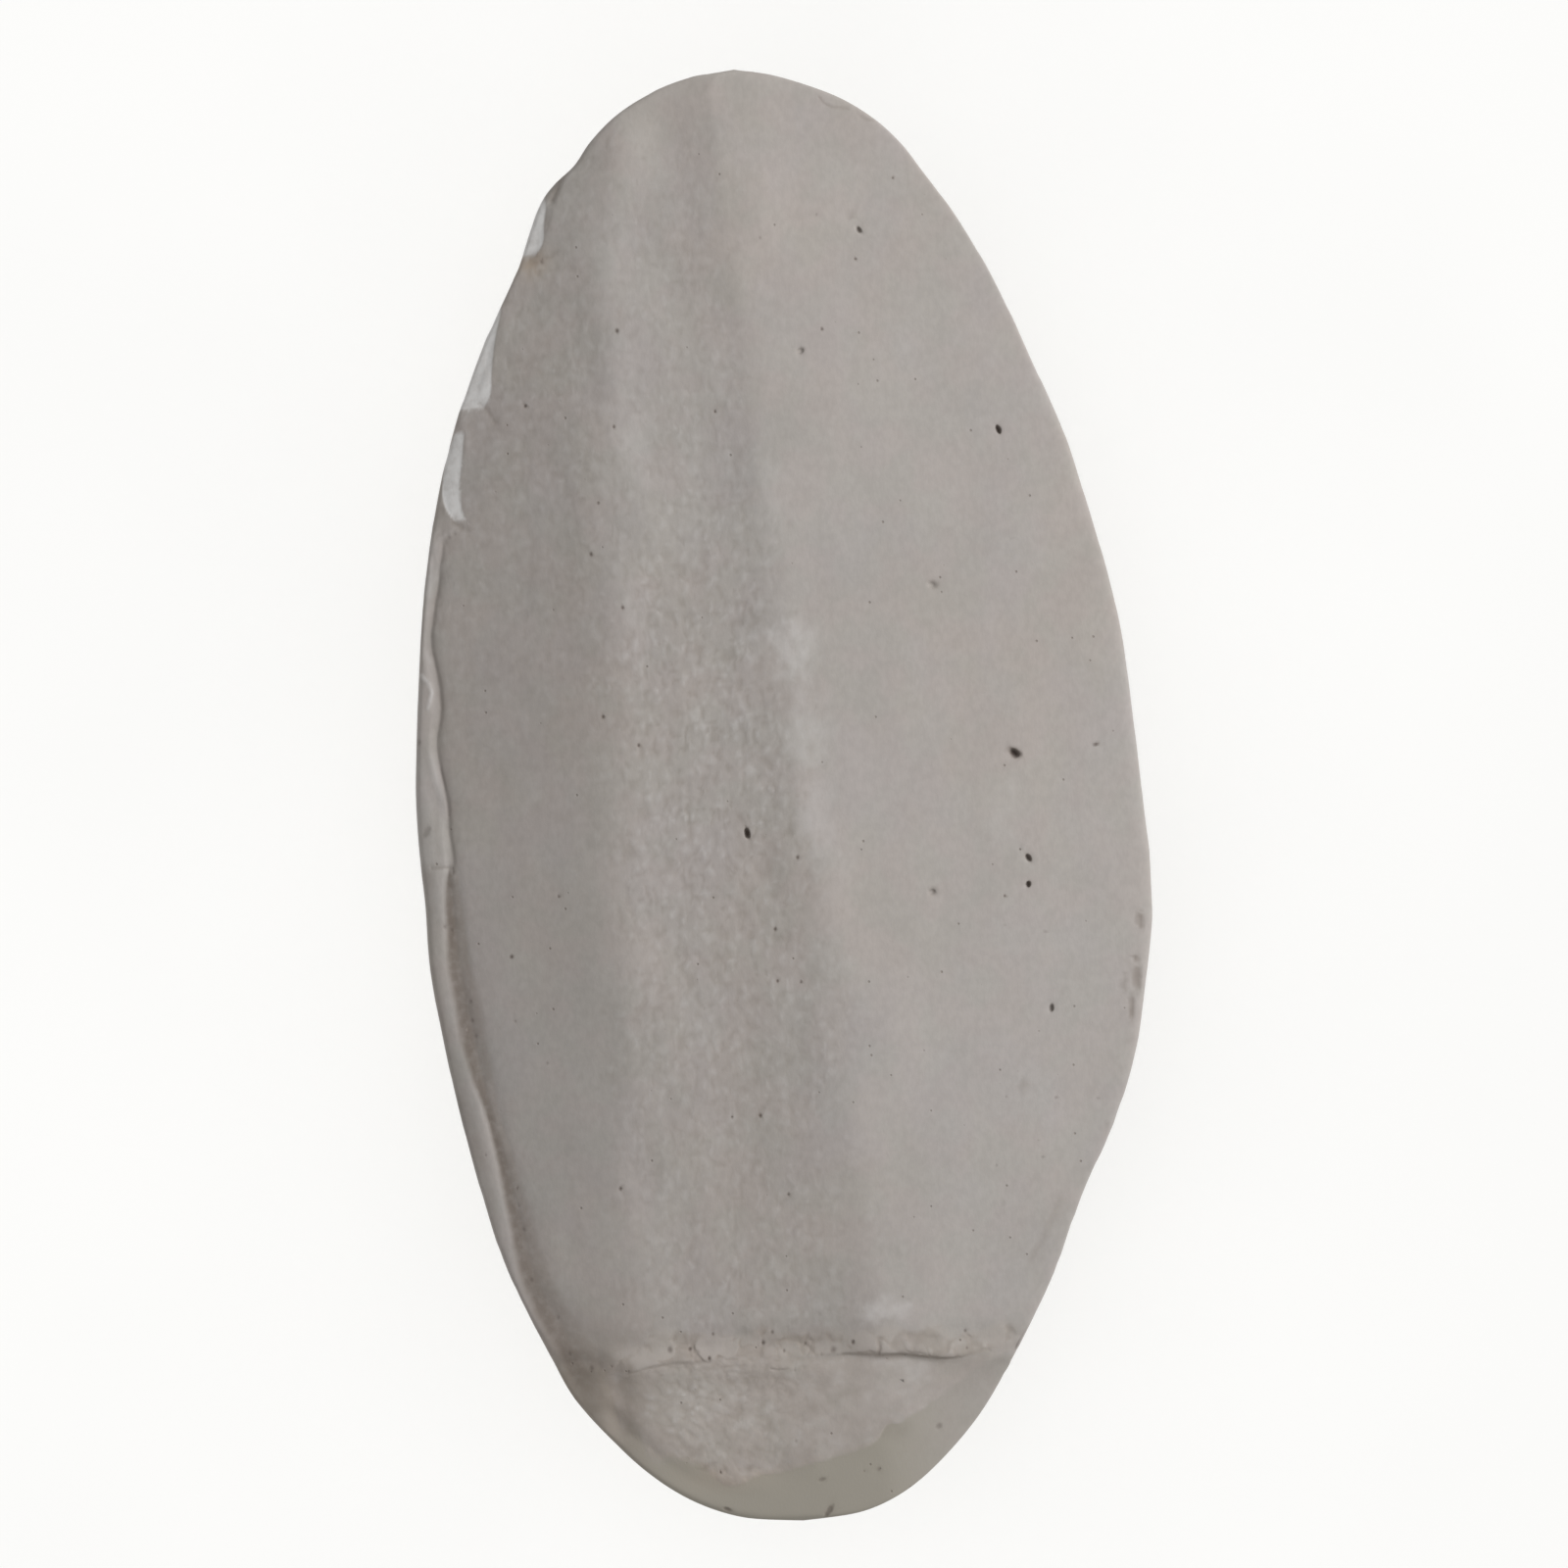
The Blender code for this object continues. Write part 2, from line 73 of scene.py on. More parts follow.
class Tone(Enum):
    """A colour of the bone. Its strength, from 0 to 1, is stored on the mesh."""

    BAND = "band"
    # painted shade in the valleys of the pebbles, of the tongue's grains and of the underside's
    # growth lines
    PAINTED_SHADE = "painted_shade"
    # brown, warm and pale are mostly the bone's own colours; they also carry some painted shade and
    # painted highlight, noted where they are worked out
    BROWN = "brown"
    WARM = "warm"
    PALE = "pale"
    HOLE = "hole"
    RIM = "rim"
    UNDERSIDE = "underside"


class MarkKind(Enum):
    """What a small mark on the back is."""

    HOLE = "hole"
    SPECK = "speck"
    CHIP = "chip"
    STAIN = "stain"


Tones = dict[Tone, np.ndarray]


def smooth_step(value: np.ndarray, low: float, high: float) -> np.ndarray:
    """Runs softly from 0 to 1.

    Args:
        value: The values to place.
        low: Where the run starts.
        high: Where it ends.

    Returns:
        The share of the run at each value.
    """
    share = np.clip((value - low) / (high - low), 0.0, 1.0)
    return share * share * (3.0 - 2.0 * share)


def soft_bump(offset: np.ndarray, width: float | np.ndarray) -> np.ndarray:
    """Gives 1 at no offset, 0.37 at the width and nearly nothing at twice the width."""
    return np.exp(-((offset / width) ** 2))


def window(value: np.ndarray, low: float, high: float, fade: float) -> np.ndarray:
    """Marks a stretch with soft ends.

    Args:
        value: The values to place.
        low: The lower end of the stretch.
        high: Its upper end.
        fade: How far each end takes to fade, half inside and half outside.

    Returns:
        1 inside the stretch and 0 outside it.
    """
    rise = smooth_step(value, low - fade / 2, low + fade / 2)
    return rise * smooth_step(-value, -high - fade / 2, -high + fade / 2)


@dataclass(frozen=True)
class Line:
    """A smooth line through a few places, one coordinate given for the other."""

    along: tuple[float, ...]
    across: tuple[float, ...]

    def at(self, place: np.ndarray) -> np.ndarray:
        """Reads the line, and past its ends the value of that end.

        Args:
            place: Where along the line to read it.

        Returns:
            The other coordinate at each place.
        """
        knots, values = np.array(self.along), np.array(self.across)
        slopes = np.gradient(values, knots)
        first = np.clip(np.searchsorted(knots, place) - 1, 0, len(knots) - 2)
        width = knots[first + 1] - knots[first]
        t = np.clip((place - knots[first]) / width, 0.0, 1.0)
        start = (2 * t**3 - 3 * t**2 + 1) * values[first]
        start = start + (t**3 - 2 * t**2 + t) * width * slopes[first]
        end = (3 * t**2 - 2 * t**3) * values[first + 1]
        return start + end + (t**3 - t**2) * width * slopes[first + 1]


class SoftNoise:
    """Soft random values over a plane, the same in each run."""

    SIZE = 128

    def __init__(self, seed: int) -> None:
        """Fills the table that the values are read from."""
        self.table = np.random.default_rng(seed).uniform(-1.0, 1.0, (self.SIZE, self.SIZE))

    def corner(self, column: np.ndarray, row: np.ndarray) -> np.ndarray:
        """Gives the random value of each corner of the grid."""
        return self.table[column % self.SIZE, row % self.SIZE]

    def at(self, u: np.ndarray, v: np.ndarray) -> np.ndarray:
        """Reads the noise.

        Args:
            u: First coordinate, one unit to a lump.
            v: Second coordinate.

        Returns:
            Values from -1 to 1.
        """
        column, row = np.floor(u).astype(int), np.floor(v).astype(int)
        across, up = smooth_step(u - column, 0.0, 1.0), smooth_step(v - row, 0.0, 1.0)
        low = self.corner(column, row) * (1 - across) + self.corner(column + 1, row) * across
        high = self.corner(column, row + 1) * (1 - across)
        high = high + self.corner(column + 1, row + 1) * across
        return low * (1 - up) + high * up


class PebbleField:
    """Low domes packed side by side, each with its own place, size and height."""

    SIZE = 128

    def __init__(self, seed: int) -> None:
        """Draws the place, the reach and the height of the dome in each cell."""
        rng = np.random.default_rng(seed)
        shape = (self.SIZE, self.SIZE)
        self.shift_u = rng.uniform(0.1, 0.9, shape)
        self.shift_v = rng.uniform(0.1, 0.9, shape)
        self.reach = rng.uniform(0.6, 1.05, shape)
        self.height = rng.uniform(0.35, 1.0, shape)

    def at(self, u: np.ndarray, v: np.ndarray) -> np.ndarray:
        """Reads the height of the domes.

        Args:
            u: First coordinate, one cell to a unit.
            v: Second coordinate.

        Returns:
            Heights from 0 in the valleys to 1 on the highest dome.
        """
        top = np.zeros_like(u)
        for step_u in (-1, 0, 1):
            for step_v in (-1, 0, 1):
                cell_u = np.floor(u).astype(int) + step_u
                cell_v = np.floor(v).astype(int) + step_v
                key = (cell_u % self.SIZE, cell_v % self.SIZE)
                gap_u = u - cell_u - self.shift_u[key]
                gap_v = v - cell_v - self.shift_v[key]
                dome = 1.0 - (gap_u**2 + gap_v**2) / self.reach[key] ** 2
                top = np.maximum(top, self.height[key] * np.clip(dome, 0.0, 1.0))
        return top


@dataclass
class BoneSurface:
    """The points of the bone's mesh in millimetres, with their normals."""

    points: np.ndarray
    normals: np.ndarray

    @classmethod
    def of(cls, piece: bpy.types.Object) -> "BoneSurface":
        """Reads the points and the normals of a piece.

        Args:
            piece: The mesh object to read.

        Returns:
            Its surface.
        """
        mesh = piece.data
        points = np.empty(len(mesh.vertices) * 3)
        normals = np.empty(len(mesh.vertices) * 3)
        mesh.vertices.foreach_get("co", points)
        mesh.vertices.foreach_get("normal", normals)
        return cls(points.reshape(-1, 3) / MM, normals.reshape(-1, 3))

    @property
    def x(self) -> np.ndarray:
        """How far to the right each point is."""
        return self.points[:, 0]

    @property
    def y(self) -> np.ndarray:
        """How far towards the front each point is."""
        return self.points[:, 1]

    @property
    def back(self) -> np.ndarray:
        """1 on the back, 0 on the underside, running softly round the edge."""
        return smooth_step(self.normals[:, 2], 0.05, 0.45)

    def store(self, piece: bpy.types.Object) -> None:
        """Writes the points back to the piece."""
        piece.data.vertices.foreach_set("co", (self.points * MM).ravel())
        piece.data.update()


@dataclass(frozen=True)
class Outline:
    """The bone's outline from above, measured from its mesh: both edges for each place along."""

    places: np.ndarray
    left: np.ndarray
    right: np.ndarray

    @classmethod
    def of(cls, bone: BoneSurface, step: float = 1.0) -> "Outline":
        """Measures the outline.

        Args:
            bone: The surface to measure.
            step: How far apart the measured places are.

        Returns:
            The outline.
        """
        slots = np.floor(bone.y / step).astype(int)
        slots -= slots.min()
        count = slots.max() + 1
        left, right = np.full(count, FAR), np.full(count, -FAR)
        np.minimum.at(left, slots, bone.x)
        np.maximum.at(right, slots, bone.x)
        places = (np.arange(count) + 0.5) * step + np.floor(bone.y.min() / step) * step
        return cls(places, left, right)

    def from_left(self, bone: BoneSurface) -> np.ndarray:
        """Gives how far each point is to the right of the left edge."""
        return bone.x - np.interp(bone.y, self.places, self.left)

    def from_right(self, bone: BoneSurface) -> np.ndarray:
        """Gives how far each point is to the left of the right edge."""
        return np.interp(bone.y, self.places, self.right) - bone.x


@dataclass
class WornEdge:
    """How the worn outline strays from the full curve of each side, and how thin its rim is."""

    left: Line = Line(
        (-66.0, -61.0, -56.0, -46.0, -40.0, -24.0, -16.0, -9.0, -6.0, -2.0, 2.0, 6.0, 12.0)
        + (24.0, 36.0, 50.0, 55.5, 59.5, 62.5, 64.0, 65.5, 68.0, 72.0, 73.8, 75.0),
        (0.0, -0.38, 0.0, -0.22, -0.05, -0.12, -0.32, -0.05, -0.15, -0.25, -0.25, -0.1, 0.02)
        + (0.0, 0.0, 0.0, 0.38, 0.02, -0.2, 0.2, 0.95, 0.8, 0.95, 1.4, 1.8),
    )
    right: Line = Line(
        (-75.0, -70.0, -64.0, -57.0, -51.0, -42.0, -35.0, -28.0, -22.0, -12.0, -3.0, 6.0, 16.0)
        + (30.0, 36.0, 44.0, 52.0, 60.0, 64.0, 67.0, 70.0, 72.0, 73.8, 75.0),
        (0.0, -0.35, 0.05, 0.3, 0.55, -0.05, 0.4, 0.55, 0.35, 0.5, 0.06, 0.18, 0.65)
        + (0.48, 0.48, 0.0, 0.0, 0.05, 0.1, 0.5, 0.45, -0.1, -1.3, -1.8),
    )
    reach: float = 9.0
    thinness: float = 0.62
    thin_reach: float = 1.6

    def shape(self, bone: BoneSurface, outline: Outline) -> None:
        """Moves the margins in or out and tightens the rounding of the rim.

        Args:
            bone: The surface, whose points are moved along X.
            outline: The bone's outline.
        """
        from_left, from_right = outline.from_left(bone), outline.from_right(bone)
        near_left = 1.0 - smooth_step(from_left, 0.0, self.reach)
        near_right = 1.0 - smooth_step(from_right, 0.0, self.reach)
        shift = self.left.at(bone.y) * near_left + self.right.at(bone.y) * near_right
        upper = smooth_step(bone.normals[:, 2], -0.15, 0.25) * window(bone.y, -60.0, 60.0, 16.0)
        tighter = from_right * soft_bump(from_right, self.thin_reach)
        tighter = tighter - from_left * soft_bump(from_left, self.thin_reach)
        bone.points[:, 0] += shift + self.thinness * tighter * upper


@dataclass
class PebbledBack:
    """The pebbling of the back, strong on the middle band and faint on the flanks."""

    width: float = 0.74
    length: float = 1.1
    height: float = 0.072
    dome_share: float = 0.72
    ridge_width: float = 0.6
    ridge_length: float = 1.0
    wander: float = 0.34
    wander_pitch: float = 0.9
    left_shoulder: tuple[float, float] = (-16.6, 0.028)
    right_shoulder: tuple[float, float] = (2.1, -0.085)
    shoulder_fade: float = 8.0
    shoulder_swell: float = 0.12
    ragged: float = 2.6
    along: Line = Line(
        (-66.0, -61.0, -56.0, -40.0, -20.0, 0.0, 12.0, 26.0, 40.0, 56.0, 66.0, 74.0),
        (0.0, 0.1, 0.45, 0.6, 0.8, 1.0, 1.0, 0.75, 0.6, 0.5, 0.35, 0.12),
    )
    left_flank: Line = Line((-60.0, -10.0, 15.0, 35.0, 60.0), (0.2, 0.2, 0.4, 0.62, 0.55))
    right_flank: float = 0.12
    lightness: Line = Line(
        (-56.0, -44.0, -28.0, -10.0, 30.0, 46.0, 60.0), (0.25, 0.12, 0.2, 0.4, 0.4, 0.3, 0.05)
    )
    flank_lightness: Line = Line((-62.0, -50.0, -15.0, 12.0), (0.45, 0.8, 0.6, 0.0))
    lump_width: float = 3.4
    lump_length: float = 7.5
    # strengths of the painted shade in the pebble valleys and of the painted highlight on the pebble
    # crests
    valley_shade: float = 0.68
    crest_paleness_and_highlight: float = 0.22
    uneven_height: float = 0.03
    uneven_pitch: float = 5.0
    seed: int = 7

    def from_shoulders(self, bone: BoneSurface) -> tuple[np.ndarray, np.ndarray]:
        """Gives how far each point is inside the left and the right shoulder, raggedly."""
        stray = self.ragged * SoftNoise(self.seed + 5).at(bone.x / 3.1, bone.y / 3.1)
        stray = stray + 0.5 * self.ragged * SoftNoise(self.seed + 6).at(bone.x / 1.2, bone.y / 1.2)
        left = self.left_shoulder[0] + self.left_shoulder[1] * bone.y
        right = self.right_shoulder[0] + self.right_shoulder[1] * bone.y
        return bone.x - left + stray, right - bone.x + stray

    def band(self, bone: BoneSurface) -> np.ndarray:
        """Gives 1 on the middle band, fading over both shoulders."""
        from_left, from_right = self.from_shoulders(bone)
        half = self.shoulder_fade / 2
        return smooth_step(from_left, -half, half) * smooth_step(from_right, -half, half)

    def strength(self, bone: BoneSurface) -> np.ndarray:
        """Gives how strong the pebbling is.

        Args:
            bone: The surface.

        Returns:
            A share from 0 to 1 for each point.
        """
        from_left, from_right = self.from_shoulders(bone)
        flank = smooth_step(-from_left, -3.0, 4.0) * self.left_flank.at(bone.y)
        far_flank = smooth_step(-from_right, -3.0, 4.0) * self.right_flank
        strength = self.band(bone) * self.along.at(bone.y) + flank + far_flank
        return np.clip(strength, 0.0, 1.0)

    def pebbles(self, bone: BoneSurface) -> np.ndarray:
        """Gives the pebbles at full strength: domes with crooked ridges between them.

        Args:
            bone: The surface.

        Returns:
            Heights from about -0.5 to 0.5.
        """
        sway = SoftNoise(self.seed)
        u, v = bone.x / self.wander_pitch, bone.y / self.wander_pitch
        x = bone.x + self.wander * sway.at(u, v)
        y = bone.y + self.wander * sway.at(u + 31.4, v + 17.7)
        domes = PebbleField(self.seed + 1).at(x / self.width, y / self.length)
        waves = SoftNoise(self.seed + 2).at(x / self.ridge_width, y / self.ridge_length)
        ridges = 1.0 - np.abs(waves) * 1.8
        return self.dome_share * domes + (1.0 - self.dome_share) * ridges - 0.45

    def height_of(self, bone: BoneSurface) -> np.ndarray:
        """Gives the pebbles, the lumps along the shoulders and the slight unevenness.

        Args:
            bone: The surface.

        Returns:
            How far each point moves out along its normal.
        """
        swell = SoftNoise(self.seed + 3)
        u, v = bone.x / self.uneven_pitch, bone.y / self.uneven_pitch
        uneven = swell.at(u, v) + 0.4 * swell.at(2.3 * u, 2.3 * v)
        raised = self.height * self.strength(bone) * self.pebbles(bone)
        from_left, from_right = self.from_shoulders(bone)
        beside = soft_bump(from_left, self.shoulder_fade) + soft_bump(from_right, self.shoulder_fade)
        lumpy = swell.at(bone.x / self.lump_width + 7.7, bone.y / self.lump_length)
        lumps = self.shoulder_swell * beside * lumpy
        lumps = lumps * smooth_step(bone.y, -56.0, -46.0)
        return (raised + self.uneven_height * uneven + lumps) * bone.back

    def tones(self, bone: BoneSurface) -> Tones:
        """Gives the light parts of the back, the painted shade of the valleys and the painted
        highlight on the pebble crests.
        """
        strength = self.strength(bone) * bone.back
        pebbles, band = self.pebbles(bone), self.band(bone)
        light = band * self.lightness.at(bone.y) + (1.0 - band) * self.flank_lightness.at(bone.y)
        return {
            Tone.BAND: light * bone.back,
            Tone.PAINTED_SHADE: self.valley_shade * smooth_step(-pebbles, 0.05, 0.36) * strength,
            Tone.PALE: self.crest_paleness_and_highlight * smooth_step(pebbles, 0.16, 0.4) * strength,
        }


@dataclass
class MarginGroove:
    """The groove along the left margin, a thin wavy line that opens into a brown channel."""

    line: Line = Line(
        (-63.0, -58.0, -56.0, -53.4, -49.9, -46.4, -43.0, -39.6, -36.2, -32.8, -29.4, -26.0, -22.5)
        + (-19.2, -15.8, -12.4, -9.0, -6.3, -5.1, -2.2, 0.9, 4.1, 7.1, 10.1, 12.4)
        + (15.2, 17.2, 20.3, 23.2, 26.2, 28.1, 28.8),
        (-21.2, -22.6, -23.5, -25.2, -26.9, -28.1, -28.7, -29.4, -30.0, -30.8, -31.6, -32.3, -32.9)
        + (-33.3, -33.9, -34.0, -34.2, -34.1, -34.0, -34.3, -34.3, -34.9, -35.2, -34.6, -34.6)
        + (-35.0, -35.3, -34.9, -34.3, -33.8, -33.0, -31.6),
    )
    half_width: Line = Line(
        (-62.0, -57.0, -53.4, -49.9, -46.4, -39.6, -34.5, -32.0, -26.0, -19.2, -12.4, -7.5, -5.5)
        + (12.0, 28.0),
        (1.9, 1.8, 1.45, 1.25, 1.0, 0.75, 0.6, 0.5, 0.9, 0.95, 0.7, 0.5, 0.28, 0.26, 0.22),
    )
    line_depth: float = 0.09
    line_width: float = 0.22
    opens: float = -6.0
    fill: float = 0.13
    crest_gap: float = 0.62
    crest_width: float = 0.5
    crest_height: float = 0.05
    curl: float = 0.12
    front_end: float = 28.8
    rear_end: float = -62.0
    floor_brown: tuple[float, float] = (0.46, 0.36)
    line_painted_shade: float = 0.14
    margin_brown: float = 0.42
    crest_paleness_and_highlight: float = 0.28
    margin_paleness: float = 0.14
    seed: int = 61

    def offset(self, bone: BoneSurface) -> np.ndarray:
        """Gives how far each point is to the right of the middle of the groove."""
        return bone.x - self.line.at(bone.y)

    def run(self, bone: BoneSurface) -> np.ndarray:
        """Gives 1 along the length of the groove, on the back only."""
        return window(bone.y, self.rear_end, self.front_end, 1.2) * bone.back

    def opened(self, bone: BoneSurface) -> np.ndarray:
        """Gives 0 along the thin line in front and 1 along the open channel behind."""
        return smooth_step(self.opens - bone.y, -1.0, 1.0)

    def patchy(self, bone: BoneSurface, pitch: float) -> np.ndarray:
        """Gives soft values from 0 to 1, one lump to this pitch."""
        return 0.5 + 0.5 * SoftNoise(self.seed).at(bone.x / pitch, bone.y / (2.0 * pitch))

    def height_of(self, bone: BoneSurface) -> np.ndarray:
        """Gives the sharp bottom of the thin line, the channel's fill and the faint crest.

        Args:
            bone: The surface.

        Returns:
            How far each point moves out along its normal.
        """
        offset, opened = self.offset(bone), self.opened(bone)
        crest = soft_bump(offset + self.half_width.at(bone.y) + self.crest_gap, self.crest_width)
        crest = crest * (self.crest_height + self.curl * self.patchy(bone, 1.6) * (1.0 - opened))
        sharp = self.line_depth * soft_bump(offset, self.line_width) * (1.0 - opened)
        share = np.abs(offset) / self.half_width.at(bone.y)
        filled = self.fill * (1.0 - smooth_step(share, 0.3, 1.5)) * opened
        filled = filled * smooth_step(bone.y, -64.0, -61.5)
        return (crest - sharp + filled) * self.run(bone)

    def tones(self, bone: BoneSurface) -> Tones:
        """Gives the brown of the channel, a painted shade just right of the thin line and the pale
        crest beside it.

        Args:
            bone: The surface.

        Returns:
            The strengths of brown and pale.
        """
        half, offset = self.half_width.at(bone.y), self.offset(bone)
        opened, run = self.opened(bone), self.run(bone)
        floor = smooth_step(offset / half, -1.9, -0.9) * smooth_step(-offset / half, -1.8, -0.9)
        plain, added = self.floor_brown
        floor = floor * (plain + added * smooth_step(-offset / half, -0.5, 0.6))
        # painted shade along the thin line's right wall, laid in as brown
        shade = soft_bump(offset - 0.1, 0.4) * (1.0 - opened)
        crest = soft_bump(offset + half + self.crest_gap, self.crest_width)
        outside = smooth_step(-offset - half - 1.0, 0.0, 1.2)
        floor = floor * (0.85 + 0.3 * self.patchy(bone, 3.0)) * smooth_step(bone.y, -64.0, -57.0)
        brown = floor * opened + self.line_painted_shade * shade
        brown = brown + self.margin_brown * outside * opened * self.patchy(bone, 2.2)
        pale = crest * self.crest_paleness_and_highlight * self.patchy(bone, 1.9) * (1.0 - opened)
        pale = pale + self.margin_paleness * outside * (1.0 - opened)
        return {Tone.BROWN: brown * run, Tone.PALE: pale * run}


@dataclass(frozen=True)
class FlakeScar:
    """A place at the left edge where a thin flake came off and white chalk shows."""

    inner: Line
    outer: Line | None = None

    def inside(self, bone: BoneSurface, outline: Outline) -> np.ndarray:
        """Marks the scar.

        Args:
            bone: The surface.
            outline: The bone's outline.

        Returns:
            1 inside the scar and 0 outside it.
        """
        low, high = self.inner.along[0], self.inner.along[-1]
        edge = np.interp(bone.y, outline.places, outline.left) - 1.0
        start = edge if self.outer is None else self.outer.at(bone.y)
        across = smooth_step(self.inner.at(bone.y) - bone.x, -0.1, 0.12)
        across = across * smooth_step(bone.x - start, -0.1, 0.12)
        return across * window(bone.y, low, high, 0.5) * smooth_step(bone.normals[:, 2], -0.3, 0.1)


@dataclass
class FlakeScars:
    """The three white flake scars of the left margin."""

    depth: float = 0.05
    tan_spot: tuple[float, float, float] = (-23.2, 55.9, 1.7)
    scars: tuple[FlakeScar, ...] = (
        FlakeScar(Line((56.6, 57.4, 59.8, 62.0, 62.8), (-22.7, -22.1, -21.7, -21.45, -21.7))),
        FlakeScar(Line((41.2, 42.4, 44.9, 48.0, 51.3), (-28.7, -28.05, -27.75, -27.3, -26.45))),
        FlakeScar(
            Line((29.8, 31.3, 33.3, 35.8, 38.8), (-31.2, -31.55, -31.6, -31.25, -30.9)),
            Line((29.8, 30.4, 31.9, 33.6, 36.4, 38.8), (-32.3, -32.8, -33.4, -33.4, -32.9, -31.9)),
        ),
    )

    def inside(self, bone: BoneSurface, outline: Outline) -> np.ndarray:
        """Gives 1 inside any of the scars."""
        return np.max([scar.inside(bone, outline) for scar in self.scars], axis=0)

    def height_of(self, bone: BoneSurface, outline: Outline) -> np.ndarray:
        """Gives the shallow step down into each scar."""
        return -self.depth * self.inside(bone, outline)

    def tones(self, bone: BoneSurface, outline: Outline) -> Tones:
        """Gives the white chalk of the scars and the tan spot behind the first.

        Args:
            bone: The surface.
            outline: The outline of the bone seen from above.

        Returns:
            The strengths of pale and warm.
        """
        x, y, reach = self.tan_spot
        tan = soft_bump(np.hypot(bone.x - x, bone.y - y), reach) * bone.back
        inside = self.inside(bone, outline)
        return {Tone.PALE: inside, Tone.WARM: tan * (1.0 - inside)}


@dataclass(frozen=True)
class Crease:
    """A short crack, brown line, pale streak or painted shadow on the back, through a few places."""

    places: tuple[tuple[float, float], ...]
    width: float
    depth: float
    brown: float = 0.0
    hole: float = 0.0
    pale: float = 0.0

    def nearness(self, bone: BoneSurface) -> np.ndarray:
        """Gives how near each point is to the line.

        Args:
            bone: The surface.

        Returns:
            1 on the line, falling to 0 at about its width.
        """
        knots = np.array(self.places)
        low, high = knots.min(0) - 3 * self.width, knots.max(0) + 3 * self.width
        flat = bone.points[:, :2]
        near = np.all((flat > low) & (flat < high), axis=1)
        gap = np.full(near.sum(), FAR)
        for start, end in zip(knots[:-1], knots[1:]):
            run = end - start
            share = np.clip((flat[near] - start) @ run / (run @ run), 0.0, 1.0)
            gap = np.minimum(gap, np.linalg.norm(flat[near] - start - share[:, None] * run, axis=1))
        result = np.zeros(len(flat))
        result[near] = soft_bump(gap, self.width / 2)
        return result * bone.back


@dataclass
class Creases:
    """The cracks, brown lines and pale streaks of the back, and the painted shadow under the ledge's
    right part.
    """

    creases: tuple[Crease, ...] = (
        Crease(((-19.3, 65.2), (-20.0, 64.0), (-20.8, 62.2)), 0.75, 0.16, 0.42, 0.12),
        Crease(((-22.3, 56.2), (-21.4, 56.3), (-20.4, 56.7)), 0.5, 0.06, 0.22),
        Crease(((-29.2, 41.7), (-28.4, 41.0), (-27.6, 39.6)), 0.5, 0.06, 0.34),
        Crease(((-32.4, 29.6), (-31.6, 29.2), (-30.8, 28.6)), 0.5, 0.06, 0.32),
        Crease(((-36.3, -5.8), (-35.3, -5.7), (-34.2, -5.9)), 0.3, 0.08, 0.36),
        Crease(((-31.9, -31.9), (-31.0, -32.2), (-30.2, -32.6)), 0.5, 0.04, 0.3),
        Crease(((26.8, -42.8), (25.2, -46.0), (23.4, -49.0)), 0.8, 0.02, 0.2),
        Crease(((7.2, 71.8), (7.6, 71.1), (8.5, 70.7), (10.0, 70.6)), 0.3, 0.05, 0.3),
        Crease(((11.4, 69.7), (12.0, 69.3), (12.6, 69.3)), 0.3, 0.04, 0.25),
        Crease(((34.5, -19.9), (34.4, -21.9)), 0.35, 0.04, 0.3),
        Crease(((-18.6, -58.5), (-16.4, -57.9), (-14.1, -57.6), (-10.2, -57.6)), 0.45, 0.06, 0.4),
        # The next three are painted shadow below the step of the ledge's right part, in brown with a
        # little dark.
        Crease(((3.6, -57.5), (7.4, -57.7), (10.0, -57.9)), 0.4, 0.05, 0.36),
        Crease(((7.2, -57.8), (10.0, -58.0), (12.6, -58.3), (15.2, -58.4)), 0.85, 0.05, 0.36, 0.05),
        Crease(((15.2, -58.4), (16.6, -58.2), (18.6, -57.9)), 0.4, 0.03, 0.22),
        Crease(((-8.4, -57.5), (-7.2, -57.5)), 0.3, 0.05, 0.3),
        Crease(((-3.8, -58.6), (-3.0, -58.8), (-2.2, -58.7)), 0.3, 0.05, 0.35),
        Crease(((-34.9, 4.4), (-34.5, 2.0), (-34.3, -0.4)), 0.24, 0.05, 0.25),
        Crease(((-36.5, 14.1), (-35.7, 13.2), (-35.4, 12.3), (-35.9, 10.6)), 0.45, -0.06, pale=0.5),
        Crease(((-35.0, 28.0), (-35.2, 25.5), (-35.5, 22.5)), 1.2, -0.03, pale=0.28),
    )

    def height_of(self, bone: BoneSurface) -> np.ndarray:
        """Gives the sunk line of each crease and the raised line of each pale streak."""
        return sum(-crease.depth * crease.nearness(bone) for crease in self.creases)

    def tones(self, bone: BoneSurface) -> Tones:
        """Gives the brown, the dark and the pale of each crease."""
        near = [(crease, crease.nearness(bone)) for crease in self.creases]
        return {
            Tone.BROWN: np.max([crease.brown * share for crease, share in near], axis=0),
            Tone.HOLE: np.max([crease.hole * share for crease, share in near], axis=0),
            Tone.PALE: np.max([crease.pale * share for crease, share in near], axis=0),
        }


